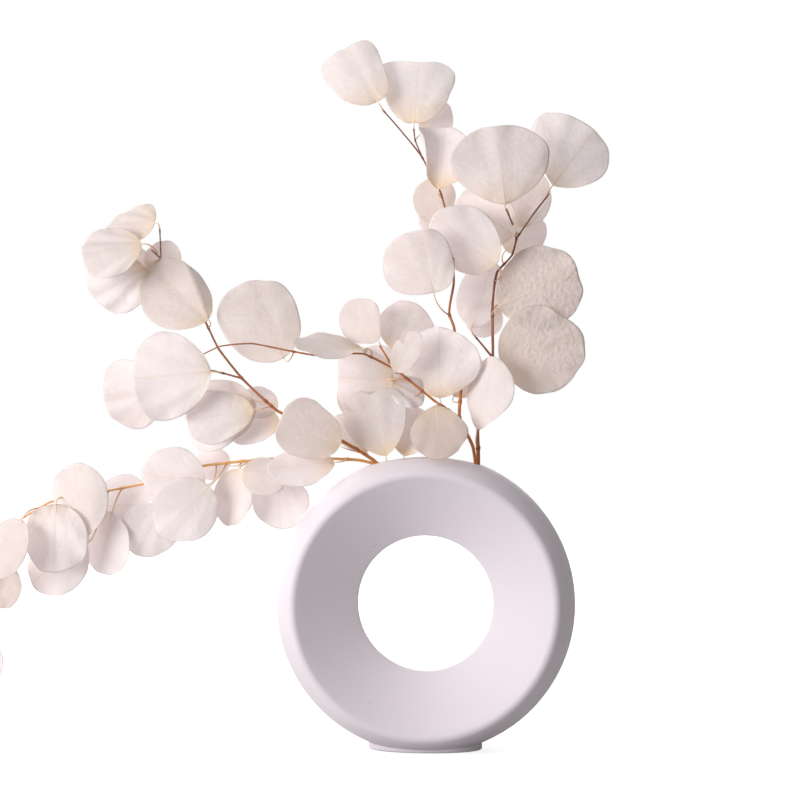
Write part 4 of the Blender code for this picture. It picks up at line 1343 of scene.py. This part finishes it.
def make_floor():
    """A disc: rings of points round the vase, one flat grid of radius by angle."""
    angle = 2 * math.pi * np.arange(FLOOR_SIDES) / FLOOR_SIDES
    radius = np.array(FLOOR_RINGS)[:, None]
    x, y = radius * np.cos(angle), radius * np.sin(angle)
    points = np.stack((x, y, np.zeros_like(x)), axis=-1).reshape(-1, 3)
    faces = grid_faces(*x.shape, closed_columns=True).reshape(-1, 4).tolist()
    faces.append(list(range(FLOOR_SIDES)))
    finish, tree, shader = new_finish("pale_floor", roughness=0.9, specular=0.0)
    feed(tree, shader.inputs["Base Color"], FLOOR_GREY)
    away = distance_from(tree, object_place(tree), (0.0, 0.0, 0.0))
    level = rescale(tree, away, *FLOOR_FADE, *FLOOR_LIFT)
    path = add_node(tree, "ShaderNodeLightPath")
    seen = calculate(tree, "MULTIPLY", path.outputs["Is Camera Ray"], level)
    lift = add_node(tree, "ShaderNodeEmission", Strength=seen)
    shaders = (shader.outputs[0], lift.outputs[0])
    join_shaders(tree, "Material Output", "ShaderNodeAddShader", *shaders)
    floor = surface_piece("floor", points, faces, [finish])
    return floor


floor = make_floor()
print("floor of", len(floor.data.polygons), "faces")


# %% World and lamps
WHITE = (1.0, 1.0, 1.0)
AMBIENT = 0.255
AIM = (0.0, 0.0, 0.2)
LAMPS = {  # power in W, size, place
    "window": (37.4, 1.3, (-1.5, -1.2, 0.36)),
    "above": (13.0, 1.6, (-0.9, -0.9, 2.0)),
    "behind": (47.0, 2.2, (-0.8, 1.8, 1.2)),
    "back": (9.0, 1.4, (-0.1, 1.6, 0.4)),
}


def make_world():
    """An even glow on the object, and white for the camera, in reflections and through glass.
    A thin leaf's light comes through as a transmission ray and as a diffuse one at once, so
    the diffuse rays are taken off: leaves get the glow and not the white."""
    world = bpy.data.worlds.new("studio")
    bpy.context.scene.world = world
    world.use_nodes = True
    tree = world.node_tree
    plain = tree.nodes["Background"]
    feed(tree, plain.inputs["Color"], WHITE)
    feed(tree, plain.inputs["Strength"], AMBIENT)
    white = add_node(tree, "ShaderNodeBackground", Color=WHITE, Strength=1.0)
    ray = add_node(tree, "ShaderNodeLightPath").outputs
    direct = calculate(tree, "ADD", ray["Is Camera Ray"], ray["Is Glossy Ray"])
    clear = calculate(tree, "SUBTRACT", ray["Is Transmission Ray"], ray["Is Diffuse Ray"])
    clear = calculate(tree, "MAXIMUM", clear, 0.0)
    direct = calculate(tree, "ADD", direct, clear, clamp=True)
    shaders = (direct, plain.outputs[0], white.outputs[0])
    join_shaders(tree, "World Output", "ShaderNodeMixShader", *shaders)


def aim(thing, target):
    """Turns a lamp or camera so that its -Z axis points at the target."""
    run = np.array(target) - np.array(thing.location)
    level = math.hypot(run[0], run[1])
    thing.rotation_euler = (math.atan2(level, -run[2]), 0.0, math.atan2(-run[0], run[1]))


def make_lamps(target):
    """Square soft lamps, each at its place and turned to the target."""
    for name, (power, size, place) in LAMPS.items():
        lamp = bpy.data.lights.new(name, "AREA")
        lamp.energy, lamp.size = power, size
        holder = bpy.data.objects.new(name, lamp)
        holder.location = place
        bpy.context.scene.collection.objects.link(holder)
        aim(holder, target)


make_world()
make_lamps(AIM)
print(len(LAMPS), "lamps")

# %% The camera
CAMERA_DISTANCE = 1.2
CAMERA_HEIGHT = 0.2335
CAMERA_TURN = math.radians(3)  # to the right of straight in front
CAMERA_ASIDE = 17 * MM  # how far to the left the lens looks past the vase's middle
SENSOR, LENS = 36.0, 80.6


def make_camera():
    """Level, at a distance from the vase, looking just past its left side."""
    ahead = np.array((-math.sin(CAMERA_TURN), math.cos(CAMERA_TURN), 0.0))
    right = np.array((math.cos(CAMERA_TURN), math.sin(CAMERA_TURN), 0.0))
    place = -CAMERA_DISTANCE * ahead - CAMERA_ASIDE * right
    data = bpy.data.cameras.new("camera")
    data.sensor_width, data.lens = SENSOR, LENS
    camera = bpy.data.objects.new("camera", data)
    camera.location = (place[0], place[1], CAMERA_HEIGHT)
    bpy.context.scene.collection.objects.link(camera)
    aim(camera, np.array(camera.location) + ahead)
    bpy.context.scene.camera = camera
    return camera


camera = make_camera()
print("camera at", [round(value, 4) for value in camera.location])

# %% Colour handling
bpy.context.scene.view_settings.view_transform = "Standard"
